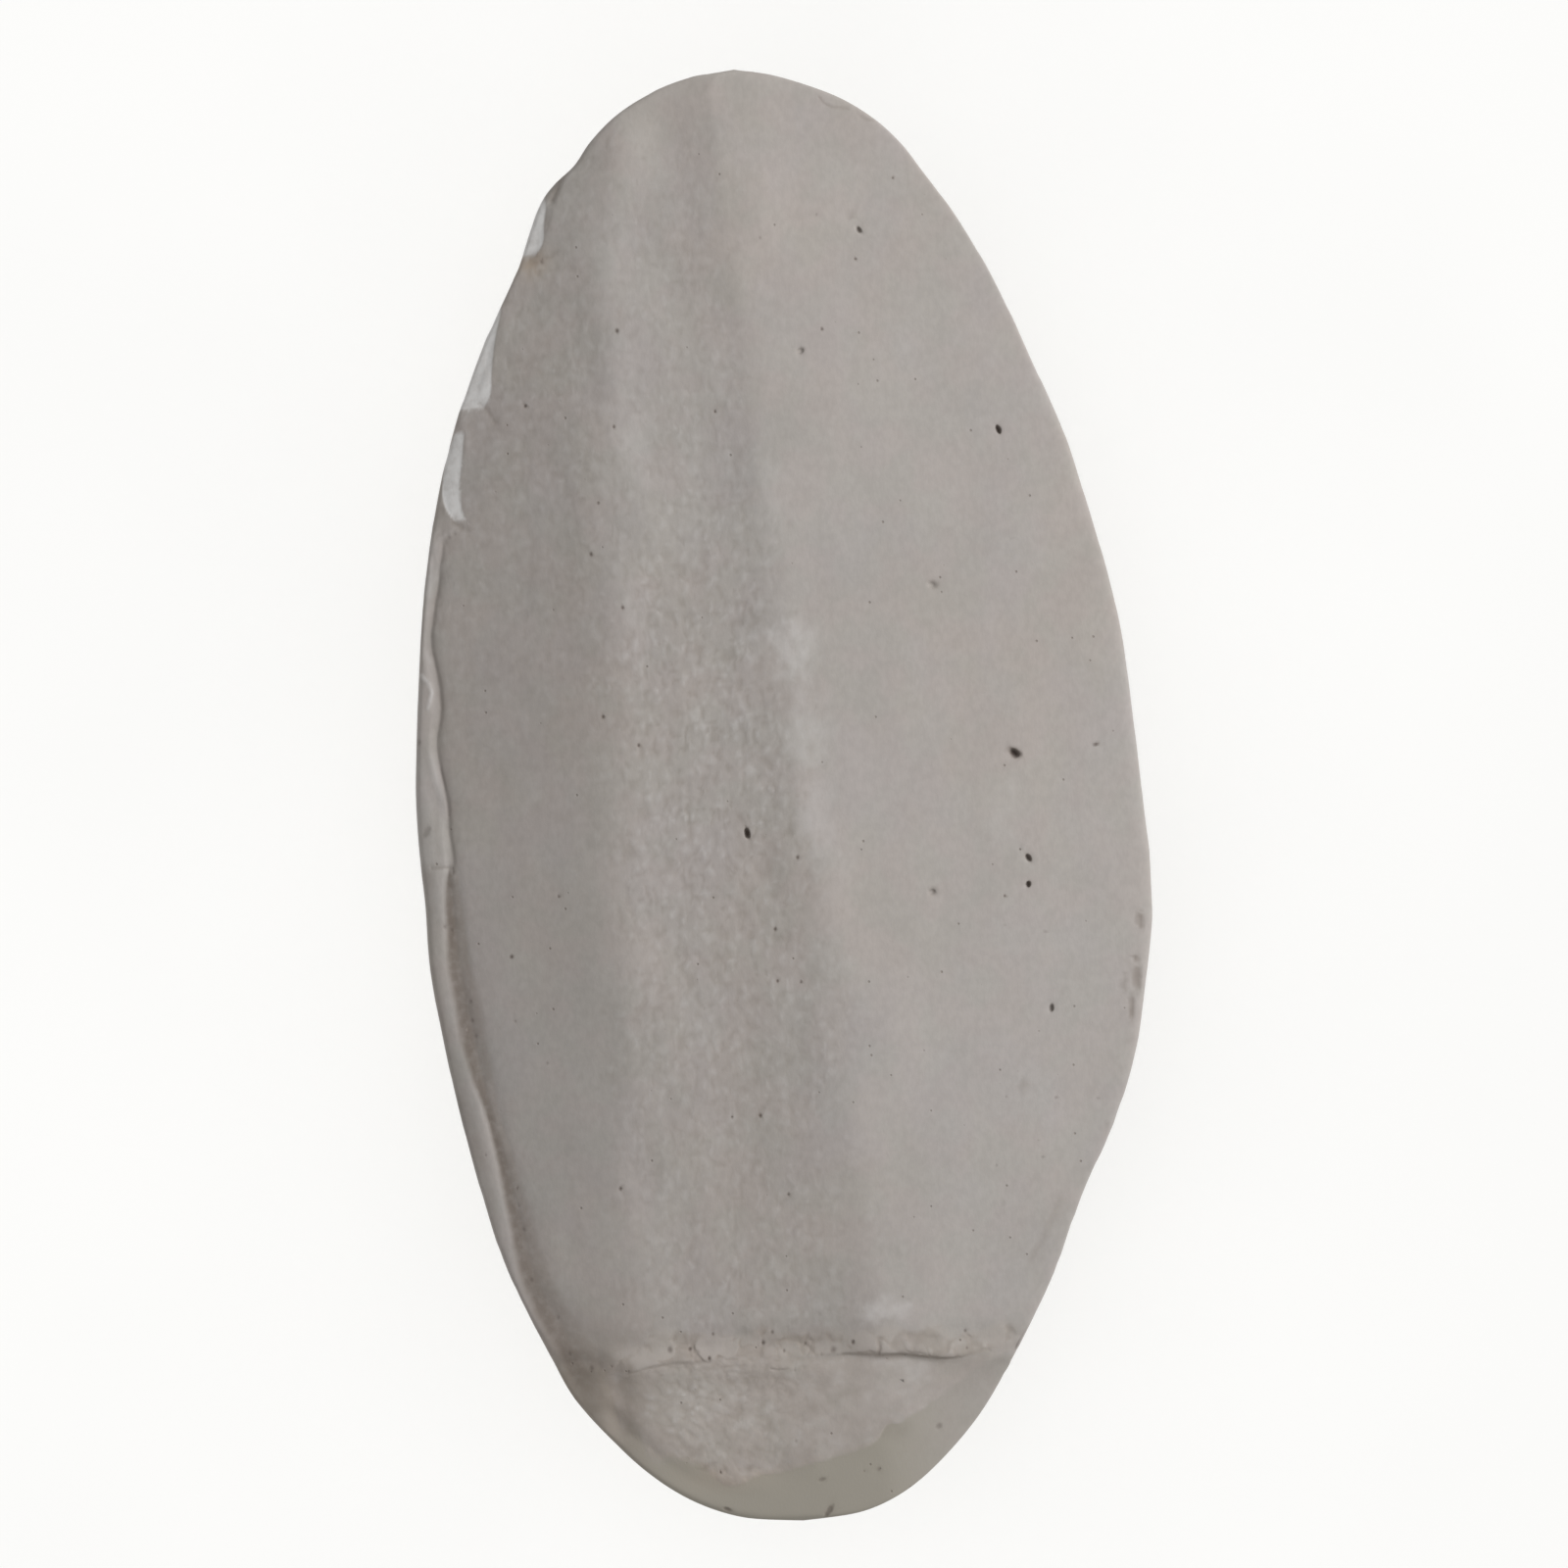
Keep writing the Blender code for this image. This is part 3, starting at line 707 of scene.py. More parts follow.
@dataclass
class BrokenLedge:
    """The ledge across the rear, where the back layer broke off in crumbling plates."""

    line: Line = Line(
        (-21.5, -20.7, -18.3, -16.4, -14.1, -11.3, -8.4, -7.2, -5.5, -3.7, -1.6, 1.1)
        + (3.8, 7.4, 10.0, 11.5, 13.4, 15.3, 16.6, 19.9, 22.5),
        (-57.2, -57.7, -58.4, -57.9, -57.6, -57.7, -57.4, -57.4, -57.5, -57.6, -57.6, -57.6)
        + (-57.5, -57.8, -57.9, -58.2, -58.5, -58.6, -58.5, -58.1, -58.0),
    )
    base: tuple[float, float] = (-57.5, -0.035)
    crisp: Line = Line(
        (-23.0, -20.0, -18.0, -10.0, -7.5, 0.5, 3.0, 7.0, 9.5, 14.5, 17.0, 18.5, 21.0),
        (-0.7, -0.6, -0.2, -0.2, -0.5, -0.5, 0.1, 0.25, 0.28, 0.28, 0.15, -0.2, -0.6),
    )
    overhang: Line = Line((-23.0, 1.0, 4.0, 8.0, 11.0, 24.0), (0.0, 0.0, 0.02, 0.02, 0.0, 0.0))
    softened: Line = Line(
        (-24.0, -20.0, -16.0, -10.0, -8.0, 1.0, 3.0, 14.0, 16.0, 19.0, 22.0, 24.0),
        (0.1, 0.25, 0.24, 0.24, 0.3, 0.3, 0.2, 0.16, 0.22, 0.3, 0.25, 0.0),
    )
    soft_reach: float = 1.8
    shift_reach: float = 2.6
    squeeze_reach: float = 0.9
    lip_at: float = 0.14
    lip_reach: float = 0.4
    undercut_at: float = -0.2
    undercut_reach: float = 0.28
    crumb_reach: float = 3.1
    crumb_width: float = 2.3
    crumb_length: float = 1.7
    crumb_wander: float = 0.55
    crumb_height: float = 0.11
    half_length: float = 20.5
    seed: int = 21

    def above(self, bone: BoneSurface) -> np.ndarray:
        """Gives how far each point is in front of the ledge."""
        return bone.y - self.line.at(bone.x)

    def across(self, bone: BoneSurface) -> np.ndarray:
        """Gives 1 across the width of the ledge, on the back only."""
        return window(bone.x, -self.half_length - 1.0, self.half_length + 1.0, 3.0) * bone.back

    def shape(self, bone: BoneSurface) -> None:
        """Moves the soft step of the solid to the ledge's line, steeper or flatter by place.

        Args:
            bone: The surface, whose points are moved along Y.
        """
        base = self.base[0] + self.base[1] * bone.x
        offset = bone.y - base
        across = self.across(bone)
        shift = (self.line.at(bone.x) - base) * soft_bump(offset, self.shift_reach)
        squeezed = -offset * self.crisp.at(bone.x) * soft_bump(offset, self.squeeze_reach)
        lip = -self.overhang.at(bone.x) * soft_bump(offset - self.lip_at, self.lip_reach)
        under = 0.5 * self.overhang.at(bone.x)
        under = under * soft_bump(offset - self.undercut_at, self.undercut_reach)
        bone.points[:, 1] += (shift + squeezed + lip + under) * across

    def crumb_zone(self, bone: BoneSurface) -> np.ndarray:
        """Gives 1 in the crumbling strip just in front of the ledge."""
        ragged = 0.9 * SoftNoise(self.seed + 1).at(bone.x / 2.2, bone.y / 2.2)
        reach = self.crumb_reach + ragged - 0.9 * soft_bump(bone.x - 5.0, 3.0)
        above = self.above(bone)
        zone = smooth_step(above, -0.2, 0.3) * smooth_step(reach - above, -0.2, 0.9)
        return zone * smooth_step(bone.x, -21.0, -18.5) * self.across(bone)

    def plates(self, bone: BoneSurface) -> np.ndarray:
        """Gives the flat crooked crumbs of the strip, 1 on a crumb and 0 in the gaps."""
        sway = SoftNoise(self.seed + 2)
        x = bone.x + self.crumb_wander * sway.at(bone.x / 1.1, bone.y / 1.1)
        y = bone.y + self.crumb_wander * sway.at(bone.x / 1.1 + 9.3, bone.y / 1.1 + 5.1)
        coarse = PebbleField(self.seed).at(x / self.crumb_width, y / self.crumb_length)
        fine = PebbleField(self.seed + 3).at(2.6 * x / self.crumb_width, 2.2 * y / self.crumb_length)
        return smooth_step(coarse + 0.35 * fine, 0.15, 0.75)

    def height_of(self, bone: BoneSurface) -> np.ndarray:
        """Gives the crumbs, and the easing of the step where the ledge is worn.

        Args:
            bone: The surface.

        Returns:
            How far each point moves out along its normal.
        """
        offset = (bone.y - self.base[0] - self.base[1] * bone.x) / self.soft_reach
        upward = smooth_step(bone.normals[:, 2], 0.45, 0.75)
        eased = self.softened.at(bone.x) * 2.33 * offset * soft_bump(offset, 1.0) * upward
        return self.crumb_height * (self.plates(bone) - 0.6) * self.crumb_zone(bone) - eased

    def tones(self, bone: BoneSurface) -> Tones:
        """Gives the brown of the break, a painted shade in brown and warm on the step's rear-facing
        faces, and the pale tops of its crumbs.

        Args:
            bone: The surface.

        Returns:
            The strengths of brown, warm and pale.
        """
        above, zone = self.above(bone), self.crumb_zone(bone)
        # painted shade on the faces of the step that turn to the rear
        rear_face_painted_shade = smooth_step(-bone.normals[:, 1], 0.3, 0.8)
        near = window(above, -1.4, 0.7, 0.5) * window(bone.x, -19.0, 18.0, 3.0)
        plates = self.plates(bone)
        gaps = (1.0 - plates) * zone
        centre = soft_bump(bone.x + 3.0, 6.0) * soft_bump(above - 0.2, 1.5) * bone.back
        brown = np.maximum(0.22 * rear_face_painted_shade * near, 0.2 * gaps + 0.12 * zone)
        return {
            Tone.BROWN: np.maximum(brown, 0.18 * centre),
            Tone.WARM: np.maximum(0.3 * zone, 0.4 * rear_face_painted_shade * near),
            Tone.PALE: 0.14 * smooth_step(plates, 0.8, 1.0) * zone,
        }


@dataclass
class ChalkTongue:
    """The rough chalky layer that shows below the ledge, and the smooth rim behind it."""

    edge: Line = Line(
        (-21.6, -20.9, -20.3, -20.0, -18.1, -17.0, -14.5, -11.1, -9.5, -8.0, -6.0, -2.6, 1.6)
        + (4.8, 7.0, 7.7, 9.1, 12.0, 15.2, 18.5, 21.5),
        (-55.5, -56.5, -60.3, -62.2, -63.9, -66.5, -67.5, -68.9, -70.3, -70.7, -69.9, -69.3, -68.3)
        + (-67.5, -66.6, -65.4, -65.0, -63.4, -61.3, -59.2, -58.2),
    )
    step_height: Line = Line(
        (-22.0, -14.5, -10.5, -8.0, -4.0, 5.0, 8.0, 12.0, 16.0),
        (0.0, 0.0, 0.02, 0.14, 0.1, 0.1, 0.08, 0.02, 0.0),
    )
    step_run: float = 0.3
    soft_run: float = 1.5
    left_end: float = -20.4
    left_reach: float = 1.6
    left_easing: float = 0.46
    grain_width: float = 1.15
    grain_length: float = 0.9
    grain_height: float = 0.08
    streaks_at: tuple[float, float] = (-13.0, -62.3)
    streaks_reach: tuple[float, float] = (5.0, 3.2)
    seed: int = 33

    def inside(self, bone: BoneSurface) -> np.ndarray:
        """Gives how far in front of the tongue's rear edge each point is."""
        ragged = 0.28 * SoftNoise(self.seed).at(bone.x / 1.3, bone.y / 1.3)
        return bone.y - self.edge.at(bone.x) + ragged

    def grains(self, bone: BoneSurface) -> np.ndarray:
        """Gives the rough grains of the tongue at full strength."""
        sway = 0.5 * SoftNoise(self.seed + 4).at(bone.x / 1.6, bone.y / 1.6)
        u, v = (bone.x + sway) / self.grain_width, (bone.y - sway) / self.grain_length
        coarse = PebbleField(self.seed + 1).at(u + 0.5 * v, v - 0.35 * u)
        return coarse + 0.5 * PebbleField(self.seed + 2).at(2.1 * u, 2.1 * v) - 0.75

    def zone(self, bone: BoneSurface, ledge: BrokenLedge) -> np.ndarray:
        """Gives 1 on the tongue and 0 elsewhere."""
        below = smooth_step(-ledge.above(bone), -0.2, 0.2)
        return below * smooth_step(self.inside(bone), -0.3, 0.3) * bone.back

    def roughness(self, bone: BoneSurface) -> np.ndarray:
        """Gives how rough the tongue is: most on its left half."""
        left = soft_bump(bone.x + 10.5, 8.0) + 0.3 * soft_bump(bone.x + 1.0, 9.0)
        return np.clip(0.14 + 0.86 * left, 0.0, 1.0)

    def height_of(self, bone: BoneSurface, ledge: BrokenLedge) -> np.ndarray:
        """Gives the crisp edge of the tongue, its softer left end and its grains.

        Args:
            bone: The surface.
            ledge: The ledge that the tongue comes out from.

        Returns:
            How far each point moves out along its normal.
        """
        inside = self.inside(bone)
        below = smooth_step(-ledge.above(bone), 0.0, 0.8) * bone.back
        crisp = smooth_step(inside, -self.step_run, self.step_run)
        crisp = crisp - smooth_step(inside, -self.soft_run, self.soft_run)
        grains = self.grain_height * self.grains(bone) * self.roughness(bone)
        beside = (bone.x - self.left_end) / self.left_reach
        along = window(bone.y, -65.5, -57.5, 1.5) * smooth_step(bone.normals[:, 2], 0.6, 0.9)
        eased = self.left_easing * beside * soft_bump(beside, 1.0) * along
        return self.step_height.at(bone.x) * crisp * below + grains * self.zone(bone, ledge) - eased

    def tones(self, bone: BoneSurface, ledge: BrokenLedge) -> Tones:
        """Gives the tones of the tongue and of the rim behind it.

        Args:
            bone: The surface.
            ledge: The ledge that the tongue comes out from.

        Returns:
            The strengths of rim, warm, brown, painted valley shade and pale.
        """
        inside, zone, grains = self.inside(bone), self.zone(bone, ledge), self.grains(bone)
        below = smooth_step(-ledge.above(bone), 0.0, 1.0) * bone.back
        soft_left = 0.15 + 1.2 * smooth_step(-12.0 - bone.x, 0.0, 6.0)
        behind = smooth_step(-inside / soft_left, -1.0, 1.0) * below
        to_right = smooth_step(bone.x, 6.0, 19.0)
        edge = soft_bump(inside, 0.8) * zone * window(bone.x, -30.0, 9.0, 4.0)
        left = smooth_step(-13.0 - bone.x, 0.0, 6.0) * soft_bump(bone.y + 60.5, 6.5) * bone.back
        tip = soft_bump(bone.x + 9.0, 4.5) * soft_bump(bone.y + 69.5, 1.8) * bone.back
        notch = soft_bump(bone.x - 8.6, 1.6) * soft_bump(bone.y + 65.9, 0.9) * bone.back
        x, y = self.streaks_at
        wide, long = self.streaks_reach
        streaks = soft_bump(np.hypot((bone.x - x) / wide, (bone.y - y) / long), 1.0)
        streaks = streaks * smooth_step(grains, 0.15, 0.5)
        # painted shade in the valleys between the grains
        valley_painted_shade = smooth_step(-grains, 0.0, 0.4) * self.roughness(bone) * zone
        blotches = SoftNoise(self.seed + 5).at(bone.x / 1.5, bone.y / 1.5)
        blotches = blotches + 0.7 * SoftNoise(self.seed + 6).at(bone.x / 0.6, bone.y / 0.6)
        dark, light = smooth_step(-blotches, 0.1, 1.0), smooth_step(blotches, 0.2, 1.1)
        return {
            Tone.RIM: behind * (1.0 - 0.8 * to_right) * (1.0 - 0.6 * left),
            Tone.WARM: np.maximum.reduce([0.4 * edge + 0.4 * tip, 0.45 * left, 0.24 * zone]),
            Tone.BROWN: np.maximum.reduce(
                [0.34 * left, 0.1 * to_right * below, 0.2 * notch, 0.16 * dark * zone]
            ),
            Tone.PAINTED_SHADE: 0.7 * valley_painted_shade,
            Tone.PALE: np.maximum(0.45 * streaks, 0.04 + 0.16 * light) * zone,
        }


@dataclass(frozen=True)
class Mark:
    """One pit, speck, chip or stain of the back. Its strength weakens or deepens its look."""

    x: float
    y: float
    length: float
    width: float
    turn: float = 90.0
    strength: float = 1.0

    def share(self, points: np.ndarray) -> np.ndarray:
        """Gives the distance from the middle of the mark as a share of its radius.

        Args:
            points: Places on the back.

        Returns:
            0 in the middle and 1 on the mark's oval.
        """
        angle = math.radians(self.turn)
        gap_x, gap_y = points[:, 0] - self.x, points[:, 1] - self.y
        along = gap_x * math.cos(angle) + gap_y * math.sin(angle)
        beside = gap_y * math.cos(angle) - gap_x * math.sin(angle)
        return np.hypot(along / (self.length / 2), beside / (self.width / 2))


@dataclass(frozen=True)
class MarkLook:
    """How deep and how dark one kind of mark is."""

    depth: float
    hole: float
    brown: float
    core: float


@dataclass
class BackMarks:
    """The pits, specks, chips and stains of the back, each where it is on this bone."""

    fade: float = 1.25
    reach: float = 0.35
    ragged: float = 0.22

    LOOKS = {
        MarkKind.HOLE: MarkLook(0.22, 0.85, 0.5, 0.3),
        MarkKind.SPECK: MarkLook(0.08, 0.8, 0.45, 0.1),
        MarkKind.CHIP: MarkLook(0.035, 0.02, 0.17, 0.3),
        MarkKind.STAIN: MarkLook(0.0, 0.0, 0.3, 0.1),
    }
    HOLES = (
        Mark(24.1, 3.3, 1.5, 0.9, 145.0),
        Mark(-3.7, -3.6, 1.3, 0.6, 100.0),
        Mark(25.0, -7.5, 1.0, 0.55, 120.0, 0.75),
        Mark(24.9, -10.2, 0.65, 0.5, 90.0, 0.85),
        Mark(24.0, 36.7, 1.0, 0.45, 115.0, 0.9),
        Mark(10.6, 57.8, 0.7, 0.5, 120.0, 0.4),
        Mark(26.7, -23.1, 0.9, 0.45, 80.0, 0.45),
        Mark(13.2, -65.7, 0.8, 0.6, 40.0, 0.32),
        Mark(0.9, -70.6, 1.0, 0.45, 10.0, 0.32),
        Mark(1.4, -74.0, 1.6, 0.7, 55.0, 0.5),
        Mark(-9.0, -73.3, 1.0, 0.5, 160.0, 0.5),
        Mark(-36.7, -2.1, 1.6, 0.7, 55.0, 0.28),
    )
    SPECKS = {
        1.0: (
            (14.4, 63.2, 0.4), (10.1, 54.8, 0.42), (6.3, 47.6, 0.44), (-14.6, 48.2, 0.6),
            (-24.4, 41.1, 0.48), (-15.4, 38.4, 0.42), (-5.0, 39.5, 0.35), (-17.3, 30.7, 0.42),
            (-18.3, 25.5, 0.55), (-15.3, 19.9, 0.42), (-17.8, 8.9, 0.5),
            (-14.3, 5.8, 0.42), (32.6, 3.8, 0.4), (-23.2, -9.2, 0.38), (-28.4, -15.2, 0.5),
            (-1.3, -13.5, 0.5), (-1.3, -18.8, 0.4), (1.1, -19.0, 0.4), (1.3, -6.3, 0.52),
            (-6.6, -32.5, 0.34), (-3.7, -32.5, 0.46), (-18.3, -39.3, 0.42), (-1.2, -40.7, 0.42),
            (22.4, -11.3, 0.36), (24.2, -6.6, 0.3), (-9.5, -69.3, 0.4),
            (-12.0, -56.2, 0.66), (-10.1, -57.3, 0.6), (-4.5, -56.0, 0.6), (4.7, -56.3, 0.6),
        ),
        0.6: (
            (-9.6, -54.8, 0.45), (-3.5, -54.9, 0.6), (-2.4, -56.9, 0.45), (-0.2, -56.3, 0.42),
            (2.7, -57.0, 0.9), (16.3, -55.8, 0.46), (16.4, -57.6, 0.46), (-14.1, -56.2, 0.75),
            (-18.4, -58.2, 0.45), (-20.1, -57.6, 0.4), (-22.1, 55.9, 0.75), (25.0, 25.5, 0.5),
        ),
        0.36: (
            (21.6, -31.9, 0.32), (26.8, -32.3, 0.32), (31.1, -32.6, 0.35), (24.7, -36.6, 0.34),
            (25.2, -38.4, 0.34), (20.3, -38.9, 0.3), (6.3, 59.5, 0.34), (0.4, 57.2, 0.38),
            (22.3, -14.3, 0.3), (26.4, -15.2, 0.42), (-25.2, -26.2, 0.36), (-28.3, -21.8, 0.42),
            (5.3, -69.9, 0.3), (6.8, -69.8, 0.6), (-1.4, -58.9, 0.4), (1.4, -57.4, 0.5),
            (-1.6, -66.4, 0.4),
        ),
        0.42: (
            (-32.9, -19.6, 0.6), (-32.8, -21.6, 0.6), (-32.5, -23.2, 0.6), (-28.9, -40.8, 0.6),
            (-28.5, -43.3, 0.8), (-28.0, -48.5, 0.6), (-25.4, -52.5, 0.7), (-24.4, -56.3, 0.6),
            (-22.2, -57.8, 0.7), (-32.1, -35.5, 0.4), (-29.0, -39.0, 0.4), (-34.0, -6.3, 0.7),
            (-35.2, -11.8, 0.6), (-34.5, -12.2, 0.5), (-37.0, 7.2, 0.7),
        ),
    }
    CHIPS = (
        Mark(16.4, 20.9, 1.3, 1.0, 160.0),
        Mark(14.9, -10.5, 1.2, 0.9, 20.0),
        Mark(4.0, 45.4, 1.0, 0.8, 30.0),
        Mark(36.4, -14.5, 1.8, 0.7, 92.0, 3.0),
        Mark(35.8, -18.5, 0.9, 0.5, 115.0, 3.0),
        Mark(35.8, -20.4, 2.6, 0.9, 90.0, 3.0),
        Mark(35.1, -23.4, 2.2, 0.6, 84.0, 3.0),
        Mark(34.9, -26.9, 0.8, 0.35, 90.0),
        Mark(31.8, -36.0, 1.7, 0.7, 72.0),
        Mark(7.6, -66.0, 1.5, 0.9, 60.0, 0.3),
        Mark(-22.5, 54.7, 0.9, 0.5, 60.0, 0.8),
    )
    STAINS = (
        Mark(-22.8, 56.3, 1.4, 1.2, 90.0, 1.4),
        Mark(10.0, 59.3, 0.8, 0.6, 40.0),
        Mark(-10.6, -68.5, 1.6, 0.5, 20.0),
        Mark(23.5, -30.9, 0.7, 0.5, 30.0),
        Mark(28.7, -32.7, 0.6, 0.4, 60.0),
        Mark(32.8, -7.8, 0.7, 0.5, 60.0),
        Mark(-6.5, -69.0, 0.8, 0.5, 90.0),
        Mark(24.0, -40.3, 0.6, 0.5, 30.0),
    )
    seed: int = 71

    def marks(self) -> list[tuple[Mark, MarkKind]]:
        """Lists every mark with its kind."""
        found = [(mark, MarkKind.HOLE) for mark in self.HOLES]
        for strength, specks in self.SPECKS.items():
            for x, y, size in specks:
                found.append((Mark(x, y, size, 0.8 * size, strength=strength), MarkKind.SPECK))
        found += [(mark, MarkKind.CHIP) for mark in self.CHIPS]
        return found + [(mark, MarkKind.STAIN) for mark in self.STAINS]

    def near(self, points: np.ndarray, mark: Mark) -> np.ndarray:
        """Finds the points round a mark.

        Args:
            points: Places on the back.
            mark: The mark.

        Returns:
            True for each point near enough for the mark to reach it.
        """
        reach = self.fade * mark.length / 2 + self.reach
        gap = np.abs(points[:, :2] - (mark.x, mark.y))
        return (gap < reach).all(axis=1)

    def touched(self, centres: np.ndarray, normals: np.ndarray) -> np.ndarray:
        """Finds the faces that the marks need fine.

        Args:
            centres: The middle of each face.
            normals: The normal of each face.

        Returns:
            True for each face near a mark that has depth.
        """
        chosen = np.zeros(len(centres), bool)
        for mark, kind in self.marks():
            if self.LOOKS[kind].depth > 0:
                chosen |= self.near(centres, mark)
        return chosen & (normals[:, 2] > 0.1)

    def frayed(self, points: np.ndarray) -> np.ndarray:
        """Gives how much the rim of a mark strays at each point, as a share of its radius."""
        return self.ragged * SoftNoise(self.seed).at(points[:, 0] / 0.4, points[:, 1] / 0.4)

    def height_of(self, bone: BoneSurface) -> np.ndarray:
        """Gives the bowl of each mark.

        Args:
            bone: The surface.

        Returns:
            How far each point moves out along its normal.
        """
        sunk = np.zeros(len(bone.points))
        for mark, kind in self.marks():
            near = self.near(bone.points, mark)
            points = bone.points[near]
            look = self.LOOKS[kind]
            share = mark.share(points) + self.frayed(points)
            bowl = 1.0 - smooth_step(share, look.core, self.fade)
            sunk[near] = np.maximum(sunk[near], mark.strength * look.depth * bowl)
        return -sunk * smooth_step(bone.normals[:, 2], -0.2, 0.3)

    def tones(self, bone: BoneSurface) -> Tones:
        """Gives the dark and the brown of each mark.

        Args:
            bone: The surface.

        Returns:
            The strengths of hole and brown.
        """
        hole, brown = np.zeros(len(bone.points)), np.zeros(len(bone.points))
        for mark, kind in self.marks():
            near = self.near(bone.points, mark)
            points = bone.points[near]
            look = self.LOOKS[kind]
            share = mark.share(points) + self.frayed(points)
            inside = mark.strength * look.hole * (1.0 - smooth_step(share, look.core, 1.1))
            round_it = mark.strength * look.brown * (1.0 - smooth_step(share, 0.6, self.fade + 0.4))
            hole[near] = np.maximum(hole[near], inside)
            brown[near] = np.maximum(brown[near], round_it)
        facing = smooth_step(bone.normals[:, 2], -0.2, 0.2)
        hole, brown = np.minimum(hole, 1.0) * facing, np.minimum(brown, 1.0) * facing
        return {Tone.HOLE: hole, Tone.BROWN: brown}


@dataclass
class ChalkPatches:
    """Ragged whitish patches where the back is rubbed: x, y, reach across, along, strength."""

    patches: tuple[tuple[float, float, float, float, float], ...] = (
        (1.6, 14.3, 2.8, 4.2, 0.34),
        (2.5, 6.3, 2.5, 3.6, 0.28),
        (3.4, -3.0, 1.8, 5.5, 0.17),
        (-13.5, 35.4, 2.4, 5.5, 0.16),
        (-15.2, 54.0, 2.0, 6.0, 0.12),
        (-0.3, 31.0, 1.6, 5.0, 0.14),
        (-0.6, 23.7, 0.8, 0.7, 0.22),
        (8.4, -53.2, 2.6, 1.3, 0.34),
        (22.6, -3.5, 1.8, 3.8, 0.14),
        (-36.0, 16.0, 0.7, 1.1, 0.3),
        (-10.5, 64.0, 3.0, 4.5, 0.12),
    )
    fray: float = 0.48
    streak_pitch: tuple[float, float] = (0.45, 1.5)
    seed: int = 44

    def tones(self, bone: BoneSurface) -> Tones:
        """Gives the pale tone of each patch.

        Args:
            bone: The surface.

        Returns:
            The strength of pale.
        """
        noise = SoftNoise(self.seed)
        frayed = noise.at(bone.x / 1.1, bone.y / 1.1) + 0.6 * noise.at(bone.x / 0.4, bone.y / 0.4)
        across, along = self.streak_pitch
        streaks = SoftNoise(self.seed + 1).at((bone.x + 0.4 * bone.y) / across, bone.y / along)
        pale = np.zeros(len(bone.points))
        for x, y, wide, long, strength in self.patches:
            share = np.hypot((bone.x - x) / wide, (bone.y - y) / long) + self.fray * frayed
            inside = 1.0 - smooth_step(share, 0.15, 1.4)
            pale = np.maximum(pale, strength * inside * (0.85 + 0.3 * streaks))
        return {Tone.PALE: pale * bone.back}


@dataclass
class GrowthLines:
    """The fine wavy growth lines of the underside, and its smooth front."""

    pitch: float = 0.95
    height: float = 0.05
    bow: float = 9.0
    sway: float = 0.5
    sway_pitch: float = 6.0
    half_width: float = 27.0
    smooth_from: float = 6.0
    fade: float = 6.0
    rear_end: float = -60.0
    uneven_height: float = 0.04
    uneven_pitch: float = 3.5
    seed: int = 55

    def lines(self, bone: BoneSurface) -> np.ndarray:
        """Gives the growth lines at full strength, from -1 to 1."""
        noise = SoftNoise(self.seed)
        sway = self.sway * noise.at(bone.x / self.sway_pitch, bone.y / self.sway_pitch)
        bowed = bone.y + self.bow * (bone.x / self.half_width) ** 2 + sway
        return np.sin(2 * math.pi * bowed / self.pitch)

    def zone(self, bone: BoneSurface) -> np.ndarray:
        """Gives 1 where the growth lines show."""
        bowed = bone.y + self.bow * (bone.x / self.half_width) ** 2
        zone = window(bowed, self.rear_end, self.smooth_from, self.fade)
        return zone * smooth_step(-bone.normals[:, 2], 0.4, 0.75)

    def height_of(self, bone: BoneSurface) -> np.ndarray:
        """Gives the growth lines and the slight unevenness of the underside."""
        swell = SoftNoise(self.seed + 1).at(bone.x / self.uneven_pitch, bone.y / self.uneven_pitch)
        under = smooth_step(-bone.normals[:, 2], 0.1, 0.5)
        return self.height * self.lines(bone) * self.zone(bone) + self.uneven_height * swell * under

    def tones(self, bone: BoneSurface) -> Tones:
        """Gives the chalky white of the underside and the painted shade in the valleys of its lines.
        """
        under = smooth_step(-bone.normals[:, 2], 0.0, 0.5)
        valley_painted_shade = smooth_step(-self.lines(bone), 0.2, 1.0) * self.zone(bone)
        return {Tone.UNDERSIDE: under, Tone.PAINTED_SHADE: 0.5 * valley_painted_shade}


